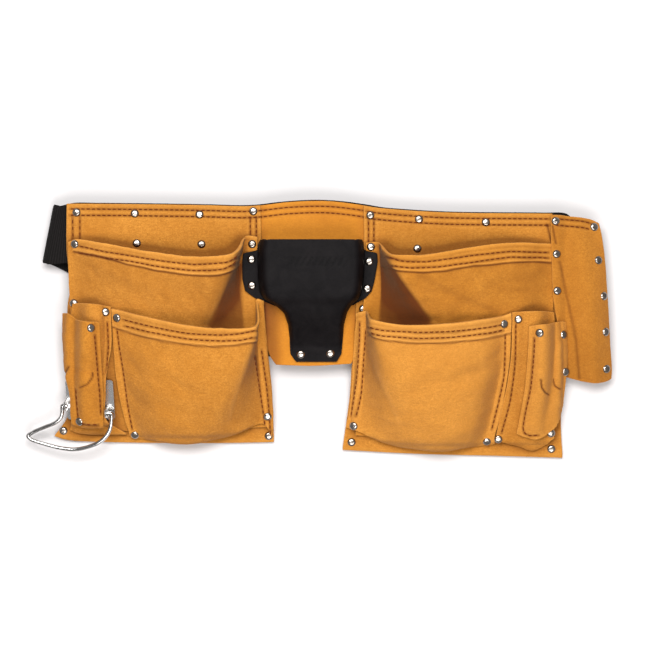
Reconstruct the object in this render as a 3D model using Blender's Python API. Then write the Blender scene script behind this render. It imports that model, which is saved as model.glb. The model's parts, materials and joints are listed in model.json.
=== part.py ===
"""Leather tool belt: two pouches and a tape holder sewn to a webbing waist belt, lying on its back.

The pieces are set out on a layout sheet in millimetres: x to the right, y DOWN the sheet, z up from the table.
to_m() turns layout millimetres into the row frame: metres, +X right, +Y towards the waist edge, +Z up.
"""

import math

import bmesh
import bpy
import numpy as np
from mathutils import Matrix, Vector
from mathutils.bvhtree import BVHTree

# ----------------------------------------------------------------- driving dimensions (mm)
X0, Y0, Z0 = 318.892, 329.149, 1.253  # layout point over the row origin, and the height added to every piece
LEATHER = 2.2  # split leather
GAP = 0.7  # air between two layers of leather
WEB_WIDTH, WEB_THICK = 60.0, 2.0  # waist webbing
TOP_Z = 24.0  # height of the pouches' back face along the waist edge
FOOT_Z = 1.2  # height of the back face at the pouches' feet
RIVET_CAP_R, RIVET_CAP_H, RIVET_SHANK_R = 4.2, 1.7, 1.3
WIRE_R = 2.4  # hammer loop wire
BUCKLE_AT, BUCKLE_DIR = (406.0, 320.9), (0.9345, -0.3559)  # strap end of the buckle, and the way to the right loop
BUCKLE_W, BUCKLE_H = 76.0, 13.6
SLACK = np.array([1.0, 1.0, 1.4])  # how much the small pockets stand open
STRAP_R = 3.5  # height of the right rear strand, over the adjuster's lower bar

LEATHER_TAN = (0.72, 0.40, 0.13)
LEATHER_SMOOTH = (0.78, 0.42, 0.10)
BLACK_LEATHER = (0.012, 0.012, 0.014)
BLACK_WEB = (0.008, 0.008, 0.009)
BLACK_PLASTIC = (0.02, 0.02, 0.022)
STEEL = (0.60, 0.60, 0.62)


def to_m(p):
    p = np.asarray(p, float)
    return np.stack([(p[..., 0] - X0), (Y0 - p[..., 1]), (p[..., 2] + Z0)], -1) * 0.001


# ----------------------------------------------------------------- curves and surfaces
def catmull(points, t):
    """Smooth curve through the points, at the positions t from 0 to len(points) - 1."""
    p = np.asarray(points, float)
    n = len(p)
    t = np.clip(np.asarray(t, float), 0, n - 1)
    i = np.minimum(t.astype(int), n - 2)
    f = (t - i).reshape((-1,) + (1,) * (p.ndim - 1))
    a, b = p[np.maximum(i - 1, 0)], p[i]
    c, d = p[i + 1], p[np.minimum(i + 2, n - 1)]
    m0, m1 = (c - a) / 2, (d - b) / 2
    return (2 * f**3 - 3 * f**2 + 1) * b + (f**3 - 2 * f**2 + f) * m0 + (3 * f**2 - 2 * f**3) * c + (f**3 - f**2) * m1


def along(points, v):
    """Smooth curve through the points, at shares v (0 to 1) of its length."""
    p = np.asarray(points, float)
    fine = catmull(p, np.linspace(0, len(p) - 1, 24 * len(p)))
    s = np.concatenate([[0], np.cumsum(np.linalg.norm(np.diff(fine, axis=0), axis=1))])
    v = np.asarray(v, float) * s[-1]
    return np.stack([np.interp(v, s, fine[:, k]) for k in range(fine.shape[1])], -1)


def line_of(points):
    """y as a smooth function of x through the points."""
    p = np.asarray(points, float)
    fine = catmull(p, np.linspace(0, len(p) - 1, 24 * len(p)))
    return lambda x: np.interp(x, fine[:, 0], fine[:, 1])


def ease(t):
    t = np.clip(t, 0, 1)
    return t * t * (3 - 2 * t)


def net_surface(net, nu, nv):
    """The smooth surface through a net of (x, y, height) points, rows from the mouth down, nu and nv cells to a span."""
    net = np.asarray(net, float)
    tv = np.linspace(0, net.shape[0] - 1, (net.shape[0] - 1) * nv + 1)
    tu = np.linspace(0, net.shape[1] - 1, (net.shape[1] - 1) * nu + 1)
    rows = catmull(net, tv)
    out = np.stack([catmull(r, tu) for r in rows])
    out[..., 2] = np.maximum(out[..., 2], 0)
    return out


def panel_surface(left, right, top, bottom, nu, nv):
    """A flat sheet between a left and a right edge (points from the top down) and top and bottom lines."""
    v = np.linspace(0, 1, nv + 1)
    l, r = along(left, v), along(right, v)
    u = np.linspace(0, 1, nu + 1)
    x = l[:, None, 0] * (1 - u) + r[:, None, 0] * u
    y = l[:, None, 1] * (1 - u) + r[:, None, 1] * u
    w = v[:, None]
    top_fix = (top(x[0]) - y[0])[None, :] * (1 - w) ** 3
    low_fix = (bottom(x[-1]) - y[-1])[None, :] * w**3
    y = y + top_fix + low_fix
    return np.stack([x, y, np.zeros_like(x)], -1)


# ----------------------------------------------------------------- what each layer lies on
TOP_LINE = line_of([(40, 203), (66, 203.5), (130, 204), (200, 205), (250, 206), (290, 202), (325, 201), (355, 204), (385, 208.5), (450, 212.5),
                    (540, 213.5), (560, 214), (585, 216.5), (600, 220.5), (620, 222)])


def arch(x):
    return 5.0 * np.exp(-(((x - 312) / 58.0) ** 2))


def ends(x):
    return 3.5 * ease((85 - x) / 35) + 7.0 * ease((x - 566) / 46)


def back_z(x, y):
    """Height of the back face of the pouches' back panels."""
    return TOP_Z + arch(x) * (1 - ease((y - 300) / 90)) - (TOP_Z - FOOT_Z) * ease((y - 318) / 127) - ends(x) * (1 - ease((y - 360) / 60))


class Relief:
    """The height of the top of everything laid down so far, on a 1 mm grid."""

    def __init__(self):
        self.x, self.y = np.arange(30, 640), np.arange(180, 480)
        gx, gy = np.meshgrid(self.x, self.y)
        self.z = back_z(gx.astype(float), gy.astype(float))

    def copy(self):
        other = Relief.__new__(Relief)
        other.x, other.y, other.z = self.x, self.y, self.z.copy()
        return other

    def add(self, surface, thick):
        """Lays a surface of points (x, y, z) down, thick mm thick."""
        s = np.asarray(surface, float)
        tv, tu = np.linspace(0, s.shape[0] - 1, 420), np.linspace(0, s.shape[1] - 1, 420)
        iv, iu = np.minimum(tv.astype(int), s.shape[0] - 2), np.minimum(tu.astype(int), s.shape[1] - 2)
        fv, fu = (tv - iv)[:, None, None], (tu - iu)[None, :, None]
        p = (s[iv][:, iu] * (1 - fv) * (1 - fu) + s[iv + 1][:, iu] * fv * (1 - fu) + s[iv][:, iu + 1] * (1 - fv) * fu + s[iv + 1][:, iu + 1] * fv * fu)
        ix = np.clip(np.round(p[..., 0]).astype(int) - self.x[0], 1, len(self.x) - 2)
        iy = np.clip(np.round(p[..., 1]).astype(int) - self.y[0], 1, len(self.y) - 2)
        z = p[..., 2] + thick
        top = np.full_like(self.z, -1e3)
        np.maximum.at(top, (iy, ix), z)
        for _ in range(3):
            wide = top.copy()
            wide[1:-1, 1:-1] = np.max([top[1 + b : top.shape[0] - 1 + b, 1 + a : top.shape[1] - 1 + a] for a in (-1, 0, 1) for b in (-1, 0, 1)], axis=0)
            top = wide
        self.z = np.maximum(self.z, top)
        return self

    def smooth(self, times=1):
        for _ in range(times):
            z = self.z
            m = z.copy()
            m[1:-1, 1:-1] = (z[:-2, 1:-1] + z[2:, 1:-1] + z[1:-1, :-2] + z[1:-1, 2:] + 4 * z[1:-1, 1:-1]) / 8
            self.z = np.maximum(z, m)
        return self

    def at(self, x, y):
        fx, fy = np.clip(x - self.x[0], 0, len(self.x) - 1.001), np.clip(y - self.y[0], 0, len(self.y) - 1.001)
        i, j = fx.astype(int), fy.astype(int)
        a, b = fx - i, fy - j
        z = self.z
        return z[j, i] * (1 - a) * (1 - b) + z[j, i + 1] * a * (1 - b) + z[j + 1, i] * (1 - a) * b + z[j + 1, i + 1] * a * b


def laid_on(relief, surface, gap=GAP):
    """Turns heights above the layer below into heights above the table."""
    s = np.array(surface, float)
    s[..., 2] += relief.at(s[..., 0], s[..., 1]) + gap
    return s


# ----------------------------------------------------------------- objects
def clear():
    for o in list(bpy.data.objects):
        bpy.data.objects.remove(o, do_unlink=True)


def material(name, colour, rough, metal=0.0):
    m = bpy.data.materials.get(name)
    if m:
        return m
    m = bpy.data.materials.new(name)
    m.use_nodes = True
    b = m.node_tree.nodes["Principled BSDF"]
    b.inputs["Base Color"].default_value = (*colour, 1)
    b.inputs["Roughness"].default_value = rough
    b.inputs["Metallic"].default_value = metal
    return m


def suede():
    return material("tan_split_leather", LEATHER_TAN, 0.9)


def mesh_object(name, verts, faces, mat, smooth=True):
    me = bpy.data.meshes.new(name)
    me.from_pydata([tuple(v) for v in verts], [], faces)
    me.validate()
    o = bpy.data.objects.new(name, me)
    bpy.context.scene.collection.objects.link(o)
    me.materials.append(mat)
    if smooth:
        me.shade_smooth()
        me.set_sharp_from_angle(angle=math.radians(50))
    return o


def sheet(name, surface, thick, mat):
    """A sheet of the given thickness, grown outwards (up) from a grid of layout points."""
    nv, nu = surface.shape[:2]
    verts = to_m(surface).reshape(-1, 3)
    faces = [(j * nu + i, (j + 1) * nu + i, (j + 1) * nu + i + 1, j * nu + i + 1) for j in range(nv - 1) for i in range(nu - 1)]
    o = mesh_object(name, verts, faces, mat)
    m = o.modifiers.new("thickness", "SOLIDIFY")
    m.thickness = thick * 0.001
    m.offset = 1.0
    m.use_even_offset = False
    return o


def tube(points, radius, sides):
    """Vertices and faces of a closed round bar along the points (metres)."""
    p = np.asarray(points, float)
    tangent = np.gradient(p, axis=0)
    tangent /= np.linalg.norm(tangent, axis=1)[:, None]
    n = np.cross(tangent[0], (0.13, 0.21, 0.97))
    n /= np.linalg.norm(n)
    verts, faces = [], []
    for k in range(len(p)):
        n = n - tangent[k] * (n @ tangent[k])
        n /= np.linalg.norm(n)
        b = np.cross(tangent[k], n)
        for s in range(sides):
            a = 2 * math.pi * s / sides
            verts.append(p[k] + radius * (math.cos(a) * n + math.sin(a) * b))
    for k in range(len(p) - 1):
        for s in range(sides):
            faces.append((k * sides + s, k * sides + (s + 1) % sides, (k + 1) * sides + (s + 1) % sides, (k + 1) * sides + s))
    faces.append(tuple(range(sides - 1, -1, -1)))
    faces.append(tuple((len(p) - 1) * sides + s for s in range(sides)))
    return verts, faces


def turned(profile, sides, at, axis):
    """A solid turned from (radius, height) points, ends on the axis, bottom to top, set at a point along an axis (metres)."""
    at, axis = Vector(at), Vector(axis).normalized()
    rot = axis.to_track_quat("Z", "Y").to_matrix()
    verts, rings = [], []
    for r, h in profile:
        if r < 1e-9:
            rings.append([len(verts)])
            verts.append(at + rot @ Vector((0, 0, h)))
        else:
            rings.append(list(range(len(verts), len(verts) + sides)))
            verts += [at + rot @ Vector((r * math.cos(2 * math.pi * s / sides), r * math.sin(2 * math.pi * s / sides), h)) for s in range(sides)]
    faces = []
    for a, b in zip(rings, rings[1:]):
        for s in range(sides):
            q = [a[s % len(a)], a[(s + 1) % len(a)], b[(s + 1) % len(b)], b[s % len(b)]]
            faces.append(tuple(dict.fromkeys(q)))
    return verts, faces


def prism(outline, low, high, frame):
    """A plate: a counter-clockwise outline of (a, b) mm, from height low to high, in a local frame (4x4, metres out)."""
    verts = [frame @ Vector((a * 0.001, b * 0.001, c * 0.001)) for c in (low, high) for a, b in outline]
    n = len(outline)
    faces = [tuple(range(n - 1, -1, -1)), tuple(range(n, 2 * n))]
    faces += [(i, (i + 1) % n, n + (i + 1) % n, n + i) for i in range(n)]
    return verts, faces


def box_outline(a0, a1, b0, b1):
    return [(a0, b0), (a1, b0), (a1, b1), (a0, b1)]


def round_outline(a0, a1, b0, b1, r, n=3):
    pts = []
    for ca, cb, start in ((a1 - r, b1 - r, 0), (a0 + r, b1 - r, 90), (a0 + r, b0 + r, 180), (a1 - r, b0 + r, 270)):
        for k in range(n + 1):
            t = math.radians(start + 90 * k / n)
            pts.append((ca + r * math.cos(t), cb + r * math.sin(t)))
    return pts


def helper(name, verts, faces):
    o = mesh_object(name, verts, faces, material("cutter", (1, 0, 0), 1), smooth=False)
    o.hide_render = True
    o.display_type = "WIRE"
    return o


def boolean(o, other, operation):
    m = o.modifiers.new(operation.lower(), "BOOLEAN")
    m.object = other
    m.operation = operation
    m.solver = "EXACT"


# ----------------------------------------------------------------- leather patterns
clear()

LEFT_PANEL = panel_surface([(66, 203.5), (66, 250), (70, 285), (67, 305), (66, 340), (67, 380), (66, 415), (51.5, 437)],
                           [(260, 206), (261, 250), (263, 300), (267, 350), (271, 390), (273, 443)],
                           TOP_LINE, line_of([(51.5, 437), (75, 442), (160, 444), (220, 444), (273, 443)]), 8, 11)
RIGHT_PANEL = panel_surface([(364, 206), (364, 250), (356.5, 300), (356.5, 340), (352.5, 365), (350, 400), (343, 451)],
                            [(553, 214), (553, 250), (556, 300), (562, 340), (565, 380), (563, 420), (565, 459)],
                            TOP_LINE, line_of([(343, 451), (420, 455), (500, 457), (565, 459)]), 8, 11)
CENTRE_PANEL = panel_surface([(250, 206), (250, 250), (256, 285), (264.8, 310), (268.6, 352), (276, 364.5)],
                             [(375, 207.5), (375, 250), (366, 285), (354.6, 315), (354.5, 352), (351, 363.5)],
                             TOP_LINE, line_of([(276, 364.5), (312, 365.5), (351, 363.5)]), 7, 8)


def on_back(surface, drop=0.0):
    s = np.array(surface, float)
    s[..., 2] = back_z(s[..., 0], s[..., 1]) - drop
    return s


def centre_z(x, y):
    return TOP_Z - LEATHER - GAP + arch(x) - 9.0 * ease((y - 322) / 110) * (1 + 0.0 * x)


LEFT_PANEL, RIGHT_PANEL = on_back(LEFT_PANEL), on_back(RIGHT_PANEL)
CENTRE_PANEL[..., 2] = centre_z(CENTRE_PANEL[..., 0], CENTRE_PANEL[..., 1])

ground = Relief().add(LEFT_PANEL, LEATHER).add(RIGHT_PANEL, LEATHER)

# Upper pockets: rows from the mouth down. Heights are above the back panel.
LEFT_UPPER = [
    [(68, 242, 0), (79, 239.5, 1.5), (110, 245, 13), (150, 252, 25), (195, 257.5, 35), (232, 254, 38), (244, 237, 0), (257, 237, 0)],
    [(68, 262, 0), (79, 261, 1.5), (110, 266, 14), (150, 271, 26), (194, 275, 34), (229, 270, 35), (238.5, 257, 0), (257, 256, 0)],
    [(69, 290, 0), (80, 290, 1.0), (110, 294, 12), (150, 298, 22), (190, 300, 27), (219, 297, 24), (238, 286, 0), (258, 285, 0)],
    [(70, 325, 0), (81, 325, 0.5), (110, 329, 9), (150, 331, 16), (184, 332, 18), (207, 329, 13), (243, 320, 0), (260, 320, 0)],
    [(72, 370, 0), (84, 370, 0.0), (112, 373, 6), (150, 375, 10), (184, 375, 9), (208, 373, 6), (250, 368, 0), (263, 368, 0)],
    [(74, 410, 0), (88, 412, 0.0), (114, 414, 2), (150, 415, 4), (184, 415, 3), (210, 414, 2), (254, 411, 0), (267, 411, 0)],
    [(76, 428, 0), (92, 430, 0.0), (116, 431, 0), (150, 432, 0), (184, 432, 0), (214, 431, 0), (256, 428, 0), (269, 428, 0)],
]
RIGHT_UPPER = [
    [(366, 243, 0), (380, 243, 0), (394, 255.5, 34), (430, 254.5, 36), (470, 248, 27), (515, 243, 15), (543, 243.5, 4), (553.5, 244, 0)],
    [(366, 259, 0), (381, 260, 0), (397, 272, 35), (431, 272, 36), (470, 266, 28), (515, 261, 16), (543, 260, 4), (553.5, 260, 0)],
    [(365, 287, 0), (382, 287, 0), (408, 296, 28), (434, 299, 30), (470, 296, 24), (515, 291, 13), (543, 288, 3), (554, 288, 0)],
    [(362, 325, 0), (378, 325, 0), (424, 332, 15), (445, 335, 18), (474, 334, 16), (512, 330, 10), (541, 326, 1), (553, 326, 0)],
    [(360, 370, 0), (376, 370, 0), (424, 376, 6), (446, 378, 9), (474, 378, 9), (510, 376, 6), (541, 373, 0), (555, 373, 0)],
    [(358, 415, 0), (374, 415, 0), (424, 419, 2), (446, 420, 4), (474, 420, 4), (508, 420, 2), (539, 418, 0), (556, 418, 0)],
    [(356, 436, 0), (372, 437, 0), (424, 440, 0), (446, 440, 0), (474, 440, 0), (506, 440, 0), (537, 440, 0), (556, 440, 0)],
]
left_upper = laid_on(ground, net_surface(LEFT_UPPER, 2, 2))
right_upper = laid_on(ground, net_surface(RIGHT_UPPER, 2, 2))
second = ground.copy().add(laid_on(ground, net_surface(LEFT_UPPER, 8, 8)), LEATHER).add(laid_on(ground, net_surface(RIGHT_UPPER, 8, 8)), LEATHER)

# Wing on the right: a back layer below the webbing's level and a front layer with a tube for a long tool.
WING_BACK = panel_surface([(560, 286), (562, 310), (565, 350), (567, 376)], [(606, 288), (607.5, 310), (610, 340), (612, 379)],
                          line_of([(560, 286), (606, 288)]), line_of([(567, 376), (590, 381), (612, 379)]), 5, 6)
WING_FRONT = [
    [(551.8, 215, 0), (562, 215.5, 0), (570, 216.5, 0), (580, 217.5, 0.3), (592, 219.5, 0), (600, 223, 0)],
    [(551.8, 236, 0), (561, 236, 0), (569, 236.5, 1), (582, 237.5, 4), (595, 238, 1), (603, 238, 0)],
    [(552.6, 262, 0), (562, 262, 0), (571, 262, 2), (584, 262, 7), (597, 262, 4), (605.5, 262, 0)],
    [(554.4, 300, 0), (565, 300, 0), (576, 300, 4), (589, 300, 9.5), (600, 300, 6), (608, 300, 0)],
    [(561, 340, 0), (569, 340, 0), (580, 340, 4), (592, 340, 9.5), (603, 340, 6), (610.5, 340, 0)],
    [(563, 366, 0), (571, 367, 0), (583, 368, 4), (595, 369, 9), (605, 368, 5), (613, 368, 0)],
    [(564, 376, 0), (572, 378, 0), (584, 381, 3.5), (596, 383, 8.5), (606, 382, 5), (612.5, 379, 0)],
]


def wing_base(x, y):
    return back_z(x, y) + LEATHER + GAP


wing_front = net_surface(WING_FRONT, 2, 2)
wing_front[..., 2] += back_z(wing_front[..., 0], wing_front[..., 1]) + LEATHER * 2 + GAP * 3 - 4.4 * ease((wing_front[..., 0] - 556) / 12)
wing_back = on_back(WING_BACK, 0.6)

second.add(wing_front, LEATHER)

# Tape holder: a T of stiff black leather standing off the centre panel.
centre_relief = ground.copy().add(CENTRE_PANEL, LEATHER).add(left_upper, LEATHER).add(right_upper, LEATHER)
HOLDER_ROWS = [  # y, left edge, left wall foot, right wall foot, right edge, stand-off, 0 at a tab's height
    (240.5, 260.5, 262.0, 360.5, 362.0, 27.0), (243.0, 258.5, 261.0, 361.5, 363.5, 27.5), (250.0, 258.0, 260.5, 362.0, 364.0, 28.0),
    (253.0, 243.5, 260.0, 362.5, 376.8, 28.0), (262.0, 242.5, 260.0, 362.5, 377.4, 28.0), (279.0, 242.8, 260.5, 361.5, 374.5, 27.5), (291.0, 245.5, 262.0, 359.8, 371.5, 26.5),
    (297.5, 254.0, 265.0, 357.5, 366.0, 25.5), (303.0, 274.0, 276.0, 350.5, 352.5, 24.0), (312.0, 284.0, 286.0, 344.8, 346.8, 20.5), (325.0, 288.5, 290.5, 341.5, 343.5, 13.5),
    (338.0, 290.0, 292.0, 340.5, 342.5, 5.0), (346.0, 290.3, 292.3, 339.8, 341.8, 1.0), (354.0, 290.8, 292.8, 339.0, 341.0, 0.0), (361.5, 296.0, 298.0, 334.5, 336.5, 0.0),
]


def holder_surface(rows, walls):
    out = []
    for y, e0, w0, w1, e1, h in rows:
        xs = np.concatenate([[e0, (e0 + w0) / 2, w0], w0 + (w1 - w0) * np.array(walls), [w1, (w1 + e1) / 2, e1]])
        s = np.concatenate([[0, 0, 0], np.array(walls), [1, 1, 1]])
        round_off = np.clip(np.minimum(s, 1 - s) / 0.055, 0, 1)
        out.append(np.stack([xs, np.full_like(xs, y), h * np.sqrt(np.clip(1 - (1 - round_off) ** 2, 0, 1)) * (1 - 0.05 * (2 * s - 1) ** 2)], -1))
    return np.array(out)


holder = holder_surface(HOLDER_ROWS, [0.012, 0.055, 0.2, 0.35, 0.5, 0.65, 0.8, 0.945, 0.988])
holder_flat = centre_relief.at(holder[..., 0], holder[..., 1])
on_tabs = np.interp(holder[..., 1], [240, 292, 300, 310], [1, 1, 0.4, 0])
tab_z = TOP_Z + 2 * (LEATHER + GAP) + 0.6 + arch(np.clip(holder[..., 0], 262, 360)) * 0.0
base_z = np.maximum(holder_flat, centre_z(holder[..., 0], holder[..., 1]) + LEATHER)
edge = (holder[..., 2] < 1.0)
holder[..., 2] += np.where(holder[..., 1] < 300, np.clip(holder_flat + 0.2, tab_z, tab_z + 2.4), base_z) + GAP

# Webbing: stations of (centre, width direction), from the end sewn over the buckle's bar, round the waist, to the adjuster.
B0, BD = np.array(BUCKLE_AT), np.array(BUCKLE_DIR)
BP = np.array([-BD[1], BD[0]])  # across the strap, down the sheet
BAR_S, BAR_Z, STRAP_Z = 4.0, 5.6, 1.9


def web_front_z(x):
    return TOP_Z + arch(x) - ends(x) - LEATHER - 2 * GAP - WEB_THICK / 2


def webbing_stations():
    st = []

    def add(x, y, z, w):
        w = np.asarray(w, float)
        st.append((np.array([x, y, z]), w / np.linalg.norm(w)))

    up = -BP  # towards the waist edge on the sheet, across the strap
    across = (up[0], up[1], 0)

    def at_s(s, z):
        p = B0 + BD * s
        add(p[0], p[1], z, across)

    # the sewn end, lying on the strap, over the bar and back under it
    for s, z in ((-34, STRAP_Z + 2.7), (-24, STRAP_Z + 2.7), (-14, STRAP_Z + 3.2), (-6, STRAP_Z + 5.2), (0, BAR_Z + 3.4)):
        at_s(s, z)
    for k in range(1, 6):
        t = math.pi * k / 6
        at_s(BAR_S + 3.7 * math.sin(t), BAR_Z + 3.7 * math.cos(t))
    for s in (2, -10, -22):
        at_s(s, STRAP_Z)
    # the slack in the middle, then the straight run up to the left fold
    k0, k1, k2 = B0 - BD * 22, np.array([318.0, 344.0]), np.array([230.0, 315.4])
    for t in np.linspace(0, 1, 10)[1:]:
        p = (1 - t) ** 2 * k0 + 2 * t * (1 - t) * k1 + t * t * k2
        d = 2 * (1 - t) * (k1 - k0) + 2 * t * (k2 - k1)
        d /= np.linalg.norm(d)
        add(p[0], p[1], STRAP_Z, (-d[1], d[0], 0) if d[0] * 1 > 0 else (-d[1] * 1, d[0] * 1, 0))
    left_axis = np.array([0.19, -0.982])
    fold = np.array([53.6, 234.5])
    r = (web_front_z(66) - STRAP_Z) / 2
    run = k2 - fold
    d = (fold - k2) / np.linalg.norm(run)
    for s in (0.2, 0.4, 0.6, 0.78, 0.92):
        p = k2 + (fold - k2) * s
        w = np.array([-d[1], d[0]]) * (1 - ease(np.array((s - 0.6) / 0.4))) + -left_axis * -1 * ease(np.array((s - 0.6) / 0.4)) * -1 * -1
        add(p[0], p[1], STRAP_Z, (w[0], w[1], 0))
    e = np.array([-left_axis[1], left_axis[0]])
    for k in range(0, 9):
        t = math.pi * k / 8
        p = fold - e * (r * math.sin(t)) * 0.95
        add(p[0], p[1], STRAP_Z + r - r * math.cos(t), (left_axis[0], left_axis[1], 0))
    for x in np.linspace(74, 566, 25):
        slope = (TOP_LINE(x + 4) - TOP_LINE(x - 4)) / 8
        add(x, TOP_LINE(x) - 1.6 + WEB_WIDTH / 2, web_front_z(x), (slope * 0.6, -1, 0))
    right_axis = np.array([-0.175, -0.985])
    fold2 = np.array([582.0, 253.5])
    r2 = (web_front_z(580) - STRAP_R) / 2
    e2 = np.array([-right_axis[1], right_axis[0]])
    for k in range(0, 9):
        t = math.pi * k / 8
        p = fold2 + e2 * (r2 * math.sin(t)) * 0.95
        add(p[0], p[1], STRAP_R + r2 + r2 * math.cos(t), (right_axis[0], right_axis[1], 0))
    end = B0 + BD * 172
    for s in (0.3, 0.65):
        p = fold2 + (end - fold2) * s
        w = right_axis * (1 - s) + up * s
        add(p[0], p[1], STRAP_R, (w[0], w[1], 0))
    for s in (172, 150, 129):
        at_s(s, STRAP_R)
    # every width direction points to the waist edge
    return [(c, w if w[1] < 0 else -w) for c, w in st]


def ribbon(stations, width, cells):
    """Grid of layout points: one row for each station, across its width."""
    q = np.linspace(-0.5, 0.5, cells + 1)
    return np.array([[c + w * width * t for t in q] for c, w in stations])


def ribbon_object(name, stations, width, thick, mat, cells=2):
    """A strap centred on its stations."""
    g = ribbon(stations, width, cells)
    nv, nu = g.shape[:2]
    verts = to_m(g).reshape(-1, 3)
    faces = [(j * nu + i, j * nu + i + 1, (j + 1) * nu + i + 1, (j + 1) * nu + i) for j in range(nv - 1) for i in range(nu - 1)]
    o = mesh_object(name, verts, faces, mat)
    m = o.modifiers.new("thickness", "SOLIDIFY")
    m.thickness, m.offset, m.use_even_offset = thick * 0.001, 0.0, False
    return o


STATIONS = webbing_stations()

# Lower pockets and side pockets lie on the upper ones.
LEFT_LOWER = [
    [(113, 309, 0), (122, 310.5, 1.0), (148, 317, 11), (188, 325, 21), (224, 328.5, 29), (255.5, 325.5, 30), (256, 301, 0), (262.3, 301, 0)],
    [(113.5, 327, 0), (123, 328, 1.0), (149, 334, 12), (188, 341, 23), (224, 345.5, 31), (252.5, 341, 30), (256, 319, 0), (263.0, 319, 0)],
    [(115, 362, 0), (125, 363, 1.0), (152, 367, 19), (188, 371, 30), (222, 375, 35), (244, 370, 28), (257, 352, 0), (265.2, 352, 0)],
    [(118, 392, 0), (128, 393, 1.0), (155, 397, 22), (188, 400, 32), (218, 401, 33), (238, 394, 22), (260, 384, 0), (268.5, 384, 0)],
    [(123, 417, 0), (133, 419, 0.8), (158, 424, 20), (188, 427, 27), (214, 425, 25), (236, 415, 13), (262, 404, 0), (270.5, 404, 0)],
    [(127, 431, 0), (137, 434, 0.5), (164, 441, 13), (190, 442.5, 16), (214, 438, 13), (238, 430.5, 6), (263, 414, 0), (271.5, 413, 0)],
    [(129, 438, 0), (139, 439, 0), (165, 439, 0), (190, 439, 0), (214, 436, 0), (238, 431, 0), (262, 424, 0), (271, 438, 0)],
]
RIGHT_LOWER = [
    [(357, 314, 0), (367, 311.5, 0), (374, 320, 29), (404, 325, 30), (445, 323.5, 22), (482, 319, 11), (501, 316, 1.0), (510, 313.0, 0)],
    [(356, 332, 0), (367, 331, 0), (377, 338, 32), (405, 344, 32), (445, 343, 24), (482, 337, 13), (501, 333, 1.0), (510, 331, 0)],
    [(353.5, 362, 0), (366, 362, 0), (384, 370, 32), (408, 374, 36), (445, 373, 31), (480, 368, 19), (499, 364, 1.0), (509, 362, 0)],
    [(352, 392, 0), (364, 393, 0), (388, 402, 25), (412, 406, 34), (445, 406, 33), (475, 401, 23), (494, 396, 1.0), (505, 394, 0)],
    [(349.5, 415, 0), (362, 417, 0), (386, 428, 13), (412, 434, 24), (442, 437, 27), (470, 430, 20), (488, 424, 1.0), (500, 421, 0)],
    [(347.5, 422, 0), (360, 427, 0), (386, 441, 6), (412, 447, 12), (442, 450, 16), (466, 445.5, 12), (484, 440, 0.6), (496, 436, 0)],
    [(346.5, 428, 0), (359, 432, 0), (386, 442, 0), (412, 447, 0), (442, 448, 0), (466, 447, 0), (484, 446, 0), (496, 444, 0)],
]
left_lower = laid_on(second, net_surface(LEFT_LOWER, 2, 2), 1.0)
right_lower = laid_on(second, net_surface(RIGHT_LOWER, 2, 2), 1.0)

SIDE_L = [
    [(73, 304, 0), (80, 303.6, 2.0), (90, 304, 6.5), (99, 305, 5.0), (104, 306, 0.5), (111, 307, 0)],
    [(70, 322, 0), (79, 322, 2.0), (90, 322, 7.0), (99, 322, 5.0), (104.5, 323, 0.5), (111.3, 324, 0)],
    [(68, 345, 0), (78, 345, 2.0), (89, 345, 6.5), (99, 345, 5.0), (104.5, 346, 0.4), (111.3, 346, 0)],
    [(68, 372, 0), (77, 372, 1.5), (88, 372, 5.5), (97, 372, 4.0), (101.5, 372, 0.3), (106, 372, 0)],
    [(70, 396, 0), (78, 396, 1.0), (88, 396, 4.5), (97, 396, 3.0), (101, 396, 0.3), (104.6, 396, 0)],
    [(70, 418, 0), (79, 419, 0.5), (89, 420, 3.0), (97, 420, 2.0), (101, 420, 0.2), (104.8, 420, 0)],
    [(68, 431, 0), (79, 433, 0), (92, 434, 0.5), (104, 434, 0.4), (114, 434, 0), (124, 434, 0)],
]
SIDE_R = [
    [(512, 312.5, 0), (519, 312, 0.5), (528, 311.5, 5.0), (538, 311.5, 6.5), (547, 312, 2.0), (553, 312.5, 0)],
    [(512, 328, 0), (519, 328, 0.5), (528, 328, 5.0), (538, 328, 7.0), (548, 328, 2.0), (555, 328, 0)],
    [(511.5, 352, 0), (518.5, 352, 0.4), (528, 352, 5.0), (539, 352, 6.5), (549, 352, 2.0), (557, 352, 0)],
    [(508, 384, 0), (516, 384, 0.3), (527, 384, 4.5), (539, 384, 6.0), (550, 384, 1.5), (558, 384, 0)],
    [(502.5, 412, 0), (512, 413, 0.3), (525, 414, 4.0), (538, 414, 5.0), (549, 414, 1.5), (557, 414, 0)],
    [(498.5, 434, 0), (508, 436, 0.2), (522, 440, 2.5), (535, 444, 3.0), (545, 440, 1.0), (556, 431, 0)],
    [(498, 441, 0), (508, 443, 0), (522, 447, 0.5), (534, 451, 0.6), (545, 447, 0), (556, 439, 0)],
]

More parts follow.
